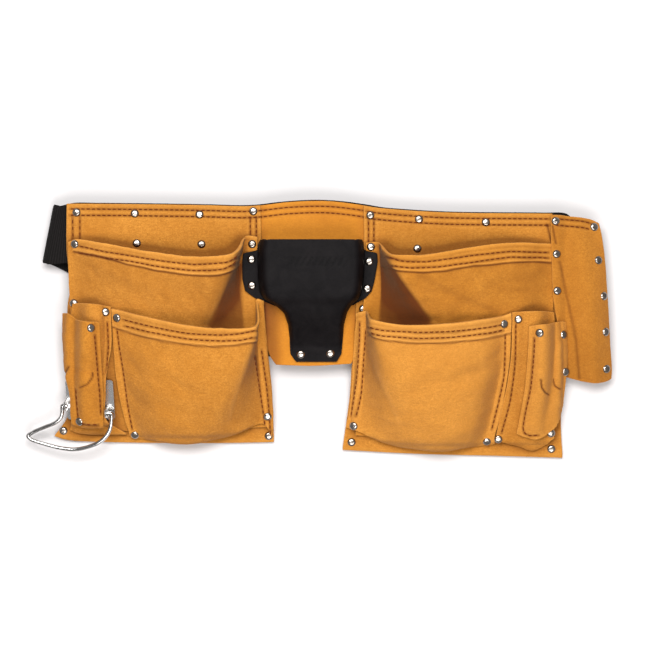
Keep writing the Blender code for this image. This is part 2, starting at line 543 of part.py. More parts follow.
# Hammer bracket: a steel channel on the left pouch, its flanges standing up past both sides of the side pocket.
PLATE_X, PLATE_Y = (64.4, 113.4), (379.0, 421.0)
gx, gy = np.meshgrid(np.linspace(PLATE_X[0], PLATE_X[1], 24), np.linspace(PLATE_Y[0], PLATE_Y[1], 20))
gz = second.at(gx, gy)
A = np.stack([gx.ravel(), gy.ravel(), np.ones(gx.size)], 1)
plane = np.linalg.lstsq(A, gz.ravel(), rcond=None)[0]
lift = float((gz - (plane[0] * gx + plane[1] * gy + plane[2])).max()) + 0.5
PX, PY = sum(PLATE_X) / 2, sum(PLATE_Y) / 2
plate_origin = to_m(np.array([PX, PY, plane[0] * PX + plane[1] * PY + plane[2] + lift]))
ex = Vector((1, 0, plane[0])).normalized()
ez = ex.cross(Vector((0, 1, -plane[1]))).normalized()
ey = ez.cross(ex).normalized()
PLATE = Matrix(((ex.x, ey.x, ez.x, plate_origin[0]), (ex.y, ey.y, ez.y, plate_origin[1]), (ex.z, ey.z, ez.z, plate_origin[2]), (0, 0, 0, 1)))
PLATE_T, FLANGE_H, PIVOT_H = 1.4, 18.0, 12.5
HALF_W = (PLATE_X[1] - PLATE_X[0]) / 2

third = second.copy()
plate_grid = np.stack([gx, gy, plane[0] * gx + plane[1] * gy + plane[2] + lift], -1)
third.add(plate_grid, PLATE_T + 1.2)
left_side = laid_on(third, net_surface(SIDE_L, 2, 2) * SLACK)
right_side = laid_on(third, net_surface(SIDE_R, 2, 2) * SLACK)
fourth = third.copy().add(laid_on(third, net_surface(SIDE_L, 8, 8) * SLACK), LEATHER).add(laid_on(third, net_surface(SIDE_R, 8, 8) * SLACK), LEATHER)

SLEEVE_L = [
    [(63.0, 313.5, 0.5), (69.5, 314.5, 1.0), (77, 319.5, 0.5), (83, 321, 4.5), (90, 322, 4.5), (96, 322, 1.0), (99.5, 322.5, 0)],
    [(63.0, 331, 0.5), (69.5, 333, 1.2), (76.5, 336, 0.6), (83, 337, 5.0), (90, 337, 5.0), (96.5, 337, 1.0), (100, 337, 0)],
    [(64.0, 352, 0.5), (69.5, 353, 1.2), (76, 354, 0.6), (83, 354, 5.0), (90, 354, 4.8), (97, 354, 1.0), (100.5, 354, 0)],
    [(65.5, 373, 0.5), (70, 374.5, 1.2), (75.5, 376, 0.5), (82, 376, 4.0), (90, 376, 4.0), (97, 376, 0.8), (101, 376, 0)],
    [(70, 396, 0.3), (73, 396, 0.8), (76, 396, 0.2), (83, 396, 3.0), (91, 396, 3.0), (98, 396, 0.6), (102, 396, 0)],
    [(70, 414, 0.2), (74, 415, 0.5), (77.5, 416, 0.1), (84, 417, 2.0), (91, 417, 2.0), (97.5, 417, 0.4), (101.2, 417, 0)],
    [(71, 424, 0), (75, 425, 0), (79, 426, 0), (85, 427, 0.3), (92, 427, 0.3), (98.5, 427, 0), (101.8, 427, 0)],
]
SLEEVE_R = [
    [(529, 326.5, 0), (533, 326, 1.0), (540, 325, 4.5), (547, 324.5, 4.5), (554, 323, 0.5), (561, 322, 2.0), (567, 322.5, 0.5)],
    [(528.5, 345, 0), (532.5, 345, 1.0), (540, 344, 5.0), (547, 344, 5.0), (554, 343, 0.6), (561, 342, 2.5), (567, 341, 0.5)],
    [(527.5, 366, 0), (531.5, 366, 1.0), (539, 366, 4.8), (546, 366, 4.8), (553, 365, 0.6), (560.5, 364, 2.5), (567, 363, 0.5)],
    [(526, 387, 0), (530, 387, 0.8), (537, 387, 4.0), (544, 387, 4.0), (551, 386, 0.5), (559, 385, 2.0), (566, 385, 0.4)],
    [(523.5, 405, 0), (527.5, 405, 0.6), (534, 406, 3.0), (541, 406, 3.0), (548, 405, 0.3), (556, 404, 1.2), (564, 403, 0.3)],
    [(520.5, 423, 0), (524.5, 424, 0.4), (531, 425, 2.0), (538, 426, 2.0), (545, 425, 0.2), (552, 422, 0.8), (560, 419, 0.2)],
    [(518.5, 434, 0), (523, 436, 0), (530, 438, 0.3), (537, 439.5, 0.3), (544, 437, 0), (551, 432, 0.2), (557, 427, 0)],
]
left_sleeve = laid_on(fourth, net_surface(SLEEVE_L, 2, 2) * SLACK)
right_sleeve = laid_on(fourth, net_surface(SLEEVE_R, 2, 2) * SLACK)

made = {}
made["left_back_panel"] = sheet("left_back_panel", LEFT_PANEL, LEATHER, suede())
made["right_back_panel"] = sheet("right_back_panel", RIGHT_PANEL, LEATHER, suede())
made["centre_panel"] = sheet("centre_panel", CENTRE_PANEL, LEATHER, material("smooth_tan_leather", LEATHER_SMOOTH, 0.75))
made["left_upper_pocket"] = sheet("left_upper_pocket", left_upper, LEATHER, suede())
made["right_upper_pocket"] = sheet("right_upper_pocket", right_upper, LEATHER, suede())
made["left_lower_pocket"] = sheet("left_lower_pocket", left_lower, LEATHER, suede())
made["right_lower_pocket"] = sheet("right_lower_pocket", right_lower, LEATHER, suede())
made["left_side_pocket"] = sheet("left_side_pocket", left_side, LEATHER, suede())
made["right_side_pocket"] = sheet("right_side_pocket", right_side, LEATHER, suede())
made["left_pencil_sleeve"] = sheet("left_pencil_sleeve", left_sleeve, LEATHER, suede())
made["right_pencil_sleeve"] = sheet("right_pencil_sleeve", right_sleeve, LEATHER, suede())
made["wing_front"] = sheet("wing_front", wing_front, LEATHER, suede())
made["wing_back"] = sheet("wing_back", wing_back, -LEATHER, suede())
made["tape_holder"] = sheet("tape_holder", holder, LEATHER, material("black_leather", BLACK_LEATHER, 0.45))
made["waist_webbing"] = ribbon_object("waist_webbing", STATIONS, WEB_WIDTH, WEB_THICK, material("black_webbing", BLACK_WEB, 0.8))

# ----------------------------------------------------------------- hammer loop and its bracket
steel = material("bright_steel", STEEL, 0.25, 1.0)


def plate_z(x, y):
    return plane[0] * x + plane[1] * y + plane[2] + lift


def joined(name, parts, mat):
    """One mesh of several closed shapes."""
    verts, faces = [], []
    for v, f in parts:
        faces += [tuple(len(verts) + i for i in q) for q in f]
        verts += list(v)
    return mesh_object(name, verts, faces, mat)


def merged(name, first, others, cuts, mat):
    """One body: the first shape with the others united and the cuts taken out."""
    o = mesh_object(name, *first, mat)
    for k, shape in enumerate(others):
        boolean(o, helper(f"{name}_add_{k}", *shape), "UNION")
    for k, shape in enumerate(cuts):
        boolean(o, helper(f"{name}_cut_{k}", *shape), "DIFFERENCE")
    return o


PIVOT_C = 8.5
PIVOT_L = np.array([65.3, 404.0])
PIVOT_R = np.array([106.8, 411.0])


def pivot_point(p):
    q = to_m(np.array([p[0], p[1], plate_z(*p)]))
    return Vector(q) + ez * (PIVOT_C * 0.001)


pl, pr = pivot_point(PIVOT_L), pivot_point(PIVOT_R)
axis_lr = (pr - pl).normalized()
inv = PLATE.inverted()
la, lb = (inv @ pl).x * 1000, (inv @ pl).y * 1000
ra, rb = (inv @ pr).x * 1000, (inv @ pr).y * 1000


def lug(a, b, half):
    """A lug with a round top, standing on the plate, as an outline in (b, c) pushed along a."""
    outline = [(b - half, 0.4), (b + half, 0.4)] + [(b + half * math.cos(t), PIVOT_C + half * math.sin(t)) for t in np.linspace(0, math.pi, 7)]
    turn = PLATE @ Matrix(((0, 0, 1, a * 0.001), (1, 0, 0, 0), (0, 1, 0, 0), (0, 0, 0, 1)))
    return prism(outline, -0.8, 0.8, turn)


def bar_between(p, q, r, sides=10, more=0.0):
    d = (q - p).normalized()
    return turned([(0, -more), (r, -more), (r, (q - p).length + more), (0, (q - p).length + more)], sides, p, d)


made["hammer_plate"] = merged("hammer_plate", prism(round_outline(-HALF_W, HALF_W, -20.8, 20.8, 3.0), 0, PLATE_T, PLATE),
                              [lug(la, lb, 5.2), lug(ra, rb, 5.2)],
                              [bar_between(pl - axis_lr * 0.004, pl + axis_lr * 0.004, 0.0029), bar_between(pr - axis_lr * 0.004, pr + axis_lr * 0.004, 0.0029)], steel)

LOOP = [(110.6, 414.6, 0), (110.3, 424, 0), (108, 432, 0), (104, 438, 0), (98, 443, 0), (88, 447.3, 0), (73.6, 450.2, 0), (58, 448.8, 0), (43, 445, 0), (33, 442, 0),
        (27, 439.4, 0), (25.6, 436.8, 0), (29.5, 434, 0), (36, 430.6, 0), (45, 427, 0), (53.6, 423.4, 0), (59, 418.5, 0), (60.6, 412.5, 0), (60.6, 407.6, 0)]


def loop_centre():
    """The wire's centre line in the row frame: in through the right lug, round the loop, in through the left lug."""
    normal = axis_lr.cross(Vector((0, -1, -0.06))).normalized()
    if normal.z < 0:
        normal = -normal
    body = []
    for x, y, _ in along(np.array(LOOP, float), np.linspace(0, 1, 30)):
        p = Vector(to_m(np.array([x, y, 0])))
        p.z = pl.z - ((p.x - pl.x) * normal.x + (p.y - pl.y) * normal.y) / normal.z
        body.append(p)
    start = [pr - axis_lr * 0.0014, pr + axis_lr * 0.0008, pr + axis_lr * 0.0026 + (body[0] - pr - axis_lr * 0.0038) * 0.2]
    finish = [pl - axis_lr * 0.0032 + (body[-1] - pl + axis_lr * 0.0046) * 0.2, pl - axis_lr * 0.0012, pl + axis_lr * 0.0022]
    return start + body + finish, normal


loop_line, loop_normal = loop_centre()
made["hammer_loop"] = mesh_object("hammer_loop", *tube([tuple(p) for p in loop_line], WIRE_R * 0.001, 8), steel)

# ----------------------------------------------------------------- buckle: (s, q, z) mm, s towards the right loop, q down the sheet
b_at = to_m(np.array([B0[0], B0[1], 0.0]))
BUCKLE = Matrix(((BD[0], BP[0], 0, b_at[0]), (-BD[1], -BP[1], 0, b_at[1]), (0, 0, 1, Z0 * 0.001), (0, 0, 0, 1)))
# (s, q, z) is left-handed in the row frame: q runs down. Flip q to keep outlines counter-clockwise.
BUCKLE = Matrix(((BD[0], -BP[0], 0, b_at[0]), (-BD[1], BP[1], 0, b_at[1]), (0, 0, 1, Z0 * 0.001), (0, 0, 0, 1)))
plastic = material("black_plastic", BLACK_PLASTIC, 0.45)


def b_point(s, q, z):
    return BUCKLE @ Vector((s * 0.001, q * 0.001, z * 0.001))


def b_bar(s, z, r, half):
    return bar_between(b_point(s, -half, z), b_point(s, half, z), r * 0.001, 8)


def b_box(s0, s1, q0, q1, z0, z1):
    return prism(box_outline(s0, s1, q0, q1), z0, z1, BUCKLE)


made["buckle_female"] = merged("buckle_female", prism(round_outline(-1, 44, -38, 38, 5), 0, BUCKLE_H, BUCKLE), [b_bar(BAR_S, BAR_Z, 2.2, 33.5)],
                               [b_box(16, 46, -29, 29, 3.2, 10.6), b_box(19.5, 46, -40, 40, 3.2, 10.6)], plastic)
# the strap's slot is cut before the bar is added
o = made["buckle_female"]
slot_cut = helper("buckle_female_slot", *b_box(-3, 12, -31.6, 31.6, -1, 16))
m = o.modifiers.new("slot", "BOOLEAN")
m.object, m.operation, m.solver = slot_cut, "DIFFERENCE", "EXACT"
o.modifiers.move(len(o.modifiers) - 1, 0)
MALE_BAR = 77.0
made["buckle_male"] = merged("buckle_male", prism(round_outline(44.6, 81, -38, 38, 5), 0, BUCKLE_H, BUCKLE), [b_bar(MALE_BAR, BAR_Z, 2.2, 33.5), b_box(20, 46, -5, 5, 4.0, 9.8)],
                             [b_box(40, 54, 16.6, 27.4, 3.4, 10.2), b_box(40, 54, -27.4, -16.6, 3.4, 10.2)], plastic)
o = made["buckle_male"]
slot_cut = helper("buckle_male_slot", *b_box(68, 84, -31.6, 31.6, -1, 16))
m = o.modifiers.new("slot", "BOOLEAN")
m.object, m.operation, m.solver = slot_cut, "DIFFERENCE", "EXACT"
o.modifiers.move(len(o.modifiers) - 1, 0)
ARM = [(52.6, 20.6), (53, 22), (52.6, 23.4), (50, 24.6), (46, 24.8), (37, 26.4), (34, 36.2), (28, 36.2), (19, 27.2), (18.6, 24.8), (34, 22.6), (46, 19.6), (50, 19.4)]
made["buckle_arm_a"] = mesh_object("buckle_arm_a", *prism(ARM, 4.2, 9.4, BUCKLE), plastic)
made["buckle_arm_b"] = mesh_object("buckle_arm_b", *prism([(s_, -q_) for s_, q_ in ARM[::-1]], 4.2, 9.4, BUCKLE), plastic)


def strap_loop_stations():
    st = []
    up = -BP

    def at_s(s, z):
        p = B0 + BD * s
        st.append((np.array([p[0], p[1], z]), np.array([up[0], up[1], 0.0])))

    for s, z in ((150, STRAP_R + 2.7), (138, STRAP_R + 2.7), (124, STRAP_R + 2.7), (106, STRAP_R + 2.9), (92, STRAP_Z + 5.0), (84, BAR_Z + 3.1), (80, BAR_Z + 3.7)):
        at_s(s, z)
    for k in range(0, 7):
        t = math.pi * k / 6
        at_s(MALE_BAR - 3.7 * math.sin(t), BAR_Z + 3.7 * math.cos(t))
    for s in (80, 84, 87):
        at_s(s, STRAP_Z)
    return st


made["strap_loop"] = ribbon_object("strap_loop", strap_loop_stations(), WEB_WIDTH, WEB_THICK, material("black_webbing", BLACK_WEB, 0.8))
made["tri_glide"] = merged("tri_glide", prism(round_outline(134, 160, -37, 37, 4), 0, 10.4, BUCKLE),
                           [],
                           [b_box(130, 164, -31.6, 31.6, 2.0, 7.9), b_box(137.5, 144, -30, 30, 6, 12), b_box(150, 156.5, -30, 30, 6, 12), b_box(138, 156, -28, 28, -1, 4)], plastic)

# ----------------------------------------------------------------- rivets
RIVETS = {
    "waist": [(75.4, 212), (199, 214), (253, 211), (74, 244), (136, 243), (252, 244), (370.5, 215), (486.5, 221.8), (556, 221), (371, 246.7), (417.8, 248.4)],
    "left": [(106, 312), (60.5, 432), (133, 436.0), (267, 417.4), (268, 437.3)],
    "holder": [(251.4, 259.3), (251.8, 285.4), (369.2, 261.5), (367.3, 288.6), (300.6, 354.5), (330.3, 353.6)],
    "right": [(353.8, 427), (351.9, 443.6), (500, 440.4), (554, 450.4), (363.3, 309), (518, 319.3)],
    "wing": [(595.5, 226.5), (557.2, 254), (599.5, 260), (557.9, 290.8), (605, 296), (566.7, 372), (608.5, 369.4)],
}
bpy.context.view_layer.update()
graph = bpy.context.evaluated_depsgraph_get()
LAYERS = {}
for name in ("left_back_panel", "right_back_panel", "centre_panel", "left_upper_pocket", "right_upper_pocket", "left_lower_pocket", "right_lower_pocket", "left_side_pocket",
             "right_side_pocket", "left_pencil_sleeve", "right_pencil_sleeve", "wing_front", "wing_back", "tape_holder", "waist_webbing"):
    bm = bmesh.new()
    bm.from_object(made[name], graph)
    LAYERS[name] = BVHTree.FromBMesh(bm)
    bm.free()


def hits(tree, start, way, reach=0.12):
    out, p, left = [], start, reach
    while left > 0:
        at, normal, index, dist = tree.ray_cast(p, way, left)
        if at is None:
            break
        out.append((start - at).length)
        p = at + way * 1e-5
        left -= dist + 1e-5
    return out


def stack_at(p, n, leave=()):
    """The layers a rivet goes through, from the outermost in, with the depths where the leather starts and ends."""
    start = p + n * 0.06
    spans = []
    for name, tree in LAYERS.items():
        if name in leave:
            continue
        d = hits(tree, start, -n)
        for a, b in zip(d[::2], d[1::2]):
            spans.append((a, b, name))
    spans.sort()
    chain = spans[:1]
    for a, b, name in spans[1:]:
        if a - chain[-1][1] > 0.0075:
            break
        chain.append((a, b, name))
    return start, chain


def surface_normal(p):
    """The way the outermost leather faces round a point."""
    best, way = None, None
    total = Vector((0, 0, 0))
    for a in range(8):
        q = p + Vector((math.cos(a * math.pi / 4), math.sin(a * math.pi / 4), 0)) * 0.003
        top = None
        for tree in LAYERS.values():
            at, normal, _, dist = tree.ray_cast(Vector((q.x, q.y, 0.2)), Vector((0, 0, -1)), 0.3)
            if at is not None and (top is None or at.z > top[0].z):
                top = (at, normal)
        if top:
            total += top[1] if top[1].z > 0 else -top[1]
    return total.normalized()


cuts = {}
for group, places in RIVETS.items():
    for k, (x, y) in enumerate(places):
        p = Vector(to_m(np.array([x, y, 0.0])))
        n = surface_normal(p)
        n = (n * 0.8 + Vector((0, 0, 1)) * 0.2).normalized()
        at = None
        for tree in LAYERS.values():
            h, _, _, _ = tree.ray_cast(Vector((p.x, p.y, 0.2)), Vector((0, 0, -1)), 0.3)
            if h is not None and (at is None or h.z > at.z):
                at = h
        start, chain = stack_at(at, n)
        names = {c[2] for c in chain}
        first, last = chain[0][0], chain[-1][1]
        side = n.orthogonal().normalized()
        across = n.cross(side)
        for r, top in ((0.0042, True), (0.0036, True), (0.0028, True), (0.0034, False)):
            for a in range(24):
                q = start + (side * math.cos(a * math.pi / 12) + across * math.sin(a * math.pi / 12)) * r
                for name in LAYERS:
                    d = [v for v in hits(LAYERS[name], q, -n) if first - 0.004 < v < last + 0.004]
                    if d:
                        names.add(name)
                    if d and top:
                        first = min(first, d[0])
                    if d and not top:
                        last = max(last, d[-1])
        first -= 0.0003
        last += 0.0003
        name = f"rivet_{group}_{k + 1}"
        length = last - first
        base = start - n * last
        profile = [(0, -0.0010), (0.0034, -0.0007), (0.0034, 0), (RIVET_SHANK_R * 0.001, 0), (RIVET_SHANK_R * 0.001, length), (RIVET_CAP_R * 0.001, length), (RIVET_CAP_R * 0.00075, length + RIVET_CAP_H * 0.00075), (0, length + RIVET_CAP_H * 0.001)]
        o = mesh_object(name, *turned(profile, 6, base, n), material("nickel", STEEL, 0.3, 1.0))
        made[name] = o
        for layer in names:
            cuts.setdefault(layer, []).append(turned([(0, -0.004), (0.0019, -0.004), (0.0019, length + 0.004), (0, length + 0.004)], 5, base, n))
for layer, shapes in cuts.items():
    tool = joined(f"{layer}_holes", shapes, material("cutter", (1, 0, 0), 1))
    tool.hide_render = True
    tool.display_type = "WIRE"
    boolean(made[layer], tool, "DIFFERENCE")


# ----------------------------------------------------------------- pivots: each moving piece has its origin on its joint
def origin_at(o, p):
    o.data.transform(Matrix.Translation(-Vector(p)))
    o.location = p


origin_at(made["hammer_loop"], pl)
origin_at(made["buckle_arm_a"], b_point(50, 22, 6.8))
origin_at(made["buckle_arm_b"], b_point(50, -22, 6.8))
origin_at(made["tri_glide"], b_point(147, 0, STRAP_R))
slide = bpy.data.objects.new("buckle_slide", None)
bpy.context.scene.collection.objects.link(slide)
slide.location = b_point(MALE_BAR, 0, BAR_Z)
bpy.context.view_layer.update()
for name in ("buckle_male", "strap_loop", "buckle_arm_a", "buckle_arm_b"):
    made[name].parent = slide
    made[name].matrix_parent_inverse = slide.matrix_world.inverted()
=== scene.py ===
"""Looks for the leather tool belt: split-leather pouches with sewn hems, a black tape holder, a steel hammer loop and ribbed waist webbing.

The pieces are set out in layout millimetres as in the CAD: x to the right, y down, z up; to_m() gives metres in the row frame.
"""

import json
import math

import bmesh
import bpy
import numpy as np
from mathutils import Matrix, Vector
from mathutils.bvhtree import BVHTree

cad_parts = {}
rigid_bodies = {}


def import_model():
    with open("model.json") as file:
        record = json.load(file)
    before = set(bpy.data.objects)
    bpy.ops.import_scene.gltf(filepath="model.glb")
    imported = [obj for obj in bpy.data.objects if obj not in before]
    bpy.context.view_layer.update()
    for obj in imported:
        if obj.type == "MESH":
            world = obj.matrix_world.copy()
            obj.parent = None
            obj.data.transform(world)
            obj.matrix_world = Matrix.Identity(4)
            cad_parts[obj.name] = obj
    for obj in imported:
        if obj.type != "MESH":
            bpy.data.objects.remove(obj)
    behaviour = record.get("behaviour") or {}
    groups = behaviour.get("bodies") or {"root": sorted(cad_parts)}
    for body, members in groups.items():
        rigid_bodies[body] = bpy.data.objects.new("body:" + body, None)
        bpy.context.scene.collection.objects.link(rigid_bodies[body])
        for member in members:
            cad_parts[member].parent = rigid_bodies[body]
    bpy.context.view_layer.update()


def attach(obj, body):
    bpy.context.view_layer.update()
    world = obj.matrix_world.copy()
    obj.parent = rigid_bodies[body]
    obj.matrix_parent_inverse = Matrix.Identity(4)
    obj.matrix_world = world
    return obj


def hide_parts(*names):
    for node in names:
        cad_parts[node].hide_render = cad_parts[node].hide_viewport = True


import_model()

X0, Y0, Z0 = 318.892, 329.149, 1.253
LEATHER = 2.2
GAP = 0.7
WEB_WIDTH, WEB_THICK = 60.0, 2.0
TOP_Z = 24.0
FOOT_Z = 1.2
WIRE_R = 2.4
BUCKLE_AT, BUCKLE_DIR = (406.0, 320.9), (0.9345, -0.3559)
SLACK = np.array([1.0, 1.0, 1.4])
STRAP_R = 3.5


def to_m(p):
    p = np.asarray(p, float)
    return np.stack([(p[..., 0] - X0), (Y0 - p[..., 1]), (p[..., 2] + Z0)], -1) * 0.001




WORLD, KEY, FILL = 0.34, 66.0, 34.0
CAM_X, CAM_Y = 0.0061, 0.0041


# ----------------------------------------------------------------- curves and surfaces
def catmull(points, t):
    """Smooth curve through the points, at the positions t from 0 to len(points) - 1."""
    p = np.asarray(points, float)
    n = len(p)
    t = np.clip(np.asarray(t, float), 0, n - 1)
    i = np.minimum(t.astype(int), n - 2)
    f = (t - i).reshape((-1,) + (1,) * (p.ndim - 1))
    a, b = p[np.maximum(i - 1, 0)], p[i]
    c, d = p[i + 1], p[np.minimum(i + 2, n - 1)]
    m0, m1 = (c - a) / 2, (d - b) / 2
    return (2 * f**3 - 3 * f**2 + 1) * b + (f**3 - 2 * f**2 + f) * m0 + (3 * f**2 - 2 * f**3) * c + (f**3 - f**2) * m1


def along(points, v):
    """Smooth curve through the points, at shares v (0 to 1) of its length."""
    p = np.asarray(points, float)
    fine = catmull(p, np.linspace(0, len(p) - 1, 24 * len(p)))
    s = np.concatenate([[0], np.cumsum(np.linalg.norm(np.diff(fine, axis=0), axis=1))])
    v = np.asarray(v, float) * s[-1]
    return np.stack([np.interp(v, s, fine[:, k]) for k in range(fine.shape[1])], -1)


def line_of(points):
    """y as a smooth function of x through the points."""
    p = np.asarray(points, float)
    fine = catmull(p, np.linspace(0, len(p) - 1, 24 * len(p)))
    return lambda x: np.interp(x, fine[:, 0], fine[:, 1])


def ease(t):
    t = np.clip(t, 0, 1)
    return t * t * (3 - 2 * t)


def net_surface(net, nu, nv):
    """The smooth surface through a net of (x, y, height) points, rows from the mouth down, nu and nv cells to a span."""
    net = np.asarray(net, float)
    tv = np.linspace(0, net.shape[0] - 1, (net.shape[0] - 1) * nv + 1)
    tu = np.linspace(0, net.shape[1] - 1, (net.shape[1] - 1) * nu + 1)
    rows = catmull(net, tv)
    out = np.stack([catmull(r, tu) for r in rows])
    out[..., 2] = np.maximum(out[..., 2], 0)
    return out


def panel_surface(left, right, top, bottom, nu, nv):
    """A flat sheet between a left and a right edge (points from the top down) and top and bottom lines."""
    v = np.linspace(0, 1, nv + 1)
    l, r = along(left, v), along(right, v)
    u = np.linspace(0, 1, nu + 1)
    x = l[:, None, 0] * (1 - u) + r[:, None, 0] * u
    y = l[:, None, 1] * (1 - u) + r[:, None, 1] * u
    w = v[:, None]
    top_fix = (top(x[0]) - y[0])[None, :] * (1 - w) ** 3
    low_fix = (bottom(x[-1]) - y[-1])[None, :] * w**3
    y = y + top_fix + low_fix
    return np.stack([x, y, np.zeros_like(x)], -1)


# ----------------------------------------------------------------- what each layer lies on
TOP_LINE = line_of([(40, 203), (66, 203.5), (130, 204), (200, 205), (250, 206), (290, 202), (325, 201), (355, 204), (385, 208.5), (450, 212.5),
                    (540, 213.5), (560, 214), (585, 216.5), (600, 220.5), (620, 222)])


def arch(x):
    return 5.0 * np.exp(-(((x - 312) / 58.0) ** 2))


def ends(x):
    return 3.5 * ease((85 - x) / 35) + 7.0 * ease((x - 566) / 46)


def back_z(x, y):
    """Height of the back face of the pouches' back panels."""
    return TOP_Z + arch(x) * (1 - ease((y - 300) / 90)) - (TOP_Z - FOOT_Z) * ease((y - 318) / 127) - ends(x) * (1 - ease((y - 360) / 60))


class Relief:
    """The height of the top of everything laid down so far, on a 1 mm grid."""

    def __init__(self):
        self.x, self.y = np.arange(30, 640), np.arange(180, 480)
        gx, gy = np.meshgrid(self.x, self.y)
        self.z = back_z(gx.astype(float), gy.astype(float))

    def copy(self):
        other = Relief.__new__(Relief)
        other.x, other.y, other.z = self.x, self.y, self.z.copy()
        return other

    def add(self, surface, thick):
        """Lays a surface of points (x, y, z) down, thick mm thick."""
        s = np.asarray(surface, float)
        tv, tu = np.linspace(0, s.shape[0] - 1, 420), np.linspace(0, s.shape[1] - 1, 420)
        iv, iu = np.minimum(tv.astype(int), s.shape[0] - 2), np.minimum(tu.astype(int), s.shape[1] - 2)
        fv, fu = (tv - iv)[:, None, None], (tu - iu)[None, :, None]
        p = (s[iv][:, iu] * (1 - fv) * (1 - fu) + s[iv + 1][:, iu] * fv * (1 - fu) + s[iv][:, iu + 1] * (1 - fv) * fu + s[iv + 1][:, iu + 1] * fv * fu)
        ix = np.clip(np.round(p[..., 0]).astype(int) - self.x[0], 1, len(self.x) - 2)
        iy = np.clip(np.round(p[..., 1]).astype(int) - self.y[0], 1, len(self.y) - 2)
        z = p[..., 2] + thick
        top = np.full_like(self.z, -1e3)
        np.maximum.at(top, (iy, ix), z)
        for _ in range(3):
            wide = top.copy()
            wide[1:-1, 1:-1] = np.max([top[1 + b : top.shape[0] - 1 + b, 1 + a : top.shape[1] - 1 + a] for a in (-1, 0, 1) for b in (-1, 0, 1)], axis=0)
            top = wide
        self.z = np.maximum(self.z, top)
        return self

    def smooth(self, times=1):
        for _ in range(times):
            z = self.z
            m = z.copy()
            m[1:-1, 1:-1] = (z[:-2, 1:-1] + z[2:, 1:-1] + z[1:-1, :-2] + z[1:-1, 2:] + 4 * z[1:-1, 1:-1]) / 8
            self.z = np.maximum(z, m)
        return self

    def at(self, x, y):
        fx, fy = np.clip(x - self.x[0], 0, len(self.x) - 1.001), np.clip(y - self.y[0], 0, len(self.y) - 1.001)
        i, j = fx.astype(int), fy.astype(int)
        a, b = fx - i, fy - j
        z = self.z
        return z[j, i] * (1 - a) * (1 - b) + z[j, i + 1] * a * (1 - b) + z[j + 1, i] * (1 - a) * b + z[j + 1, i + 1] * a * b


def laid_on(relief, surface, gap=GAP):
    """Turns heights above the layer below into heights above the table."""
    s = np.array(surface, float)
    s[..., 2] += relief.at(s[..., 0], s[..., 1]) + gap
    return s


LEFT_PANEL = panel_surface([(66, 203.5), (66, 250), (70, 285), (67, 305), (66, 340), (67, 380), (66, 415), (51.5, 437)],
                           [(260, 206), (261, 250), (263, 300), (267, 350), (271, 390), (273, 443)],
                           TOP_LINE, line_of([(51.5, 437), (75, 442), (160, 444), (220, 444), (273, 443)]), 8, 11)
RIGHT_PANEL = panel_surface([(364, 206), (364, 250), (356.5, 300), (356.5, 340), (352.5, 365), (350, 400), (343, 451)],
                            [(553, 214), (553, 250), (556, 300), (562, 340), (565, 380), (563, 420), (565, 459)],
                            TOP_LINE, line_of([(343, 451), (420, 455), (500, 457), (565, 459)]), 8, 11)
CENTRE_PANEL = panel_surface([(250, 206), (250, 250), (256, 285), (264.8, 310), (268.6, 352), (276, 364.5)],
                             [(375, 207.5), (375, 250), (366, 285), (354.6, 315), (354.5, 352), (351, 363.5)],
                             TOP_LINE, line_of([(276, 364.5), (312, 365.5), (351, 363.5)]), 7, 8)


def on_back(surface, drop=0.0):
    s = np.array(surface, float)
    s[..., 2] = back_z(s[..., 0], s[..., 1]) - drop
    return s


def centre_z(x, y):
    return TOP_Z - LEATHER - GAP + arch(x) - 9.0 * ease((y - 322) / 110) * (1 + 0.0 * x)


LEFT_PANEL, RIGHT_PANEL = on_back(LEFT_PANEL), on_back(RIGHT_PANEL)
CENTRE_PANEL[..., 2] = centre_z(CENTRE_PANEL[..., 0], CENTRE_PANEL[..., 1])

ground = Relief().add(LEFT_PANEL, LEATHER).add(RIGHT_PANEL, LEATHER)

# Upper pockets: rows from the mouth down. Heights are above the back panel.
LEFT_UPPER = [
    [(68, 242, 0), (79, 239.5, 1.5), (110, 245, 13), (150, 252, 25), (195, 257.5, 35), (232, 254, 38), (244, 237, 0), (257, 237, 0)],
    [(68, 262, 0), (79, 261, 1.5), (110, 266, 14), (150, 271, 26), (194, 275, 34), (229, 270, 35), (238.5, 257, 0), (257, 256, 0)],
    [(69, 290, 0), (80, 290, 1.0), (110, 294, 12), (150, 298, 22), (190, 300, 27), (219, 297, 24), (238, 286, 0), (258, 285, 0)],
    [(70, 325, 0), (81, 325, 0.5), (110, 329, 9), (150, 331, 16), (184, 332, 18), (207, 329, 13), (243, 320, 0), (260, 320, 0)],
    [(72, 370, 0), (84, 370, 0.0), (112, 373, 6), (150, 375, 10), (184, 375, 9), (208, 373, 6), (250, 368, 0), (263, 368, 0)],
    [(74, 410, 0), (88, 412, 0.0), (114, 414, 2), (150, 415, 4), (184, 415, 3), (210, 414, 2), (254, 411, 0), (267, 411, 0)],
    [(76, 428, 0), (92, 430, 0.0), (116, 431, 0), (150, 432, 0), (184, 432, 0), (214, 431, 0), (256, 428, 0), (269, 428, 0)],
]
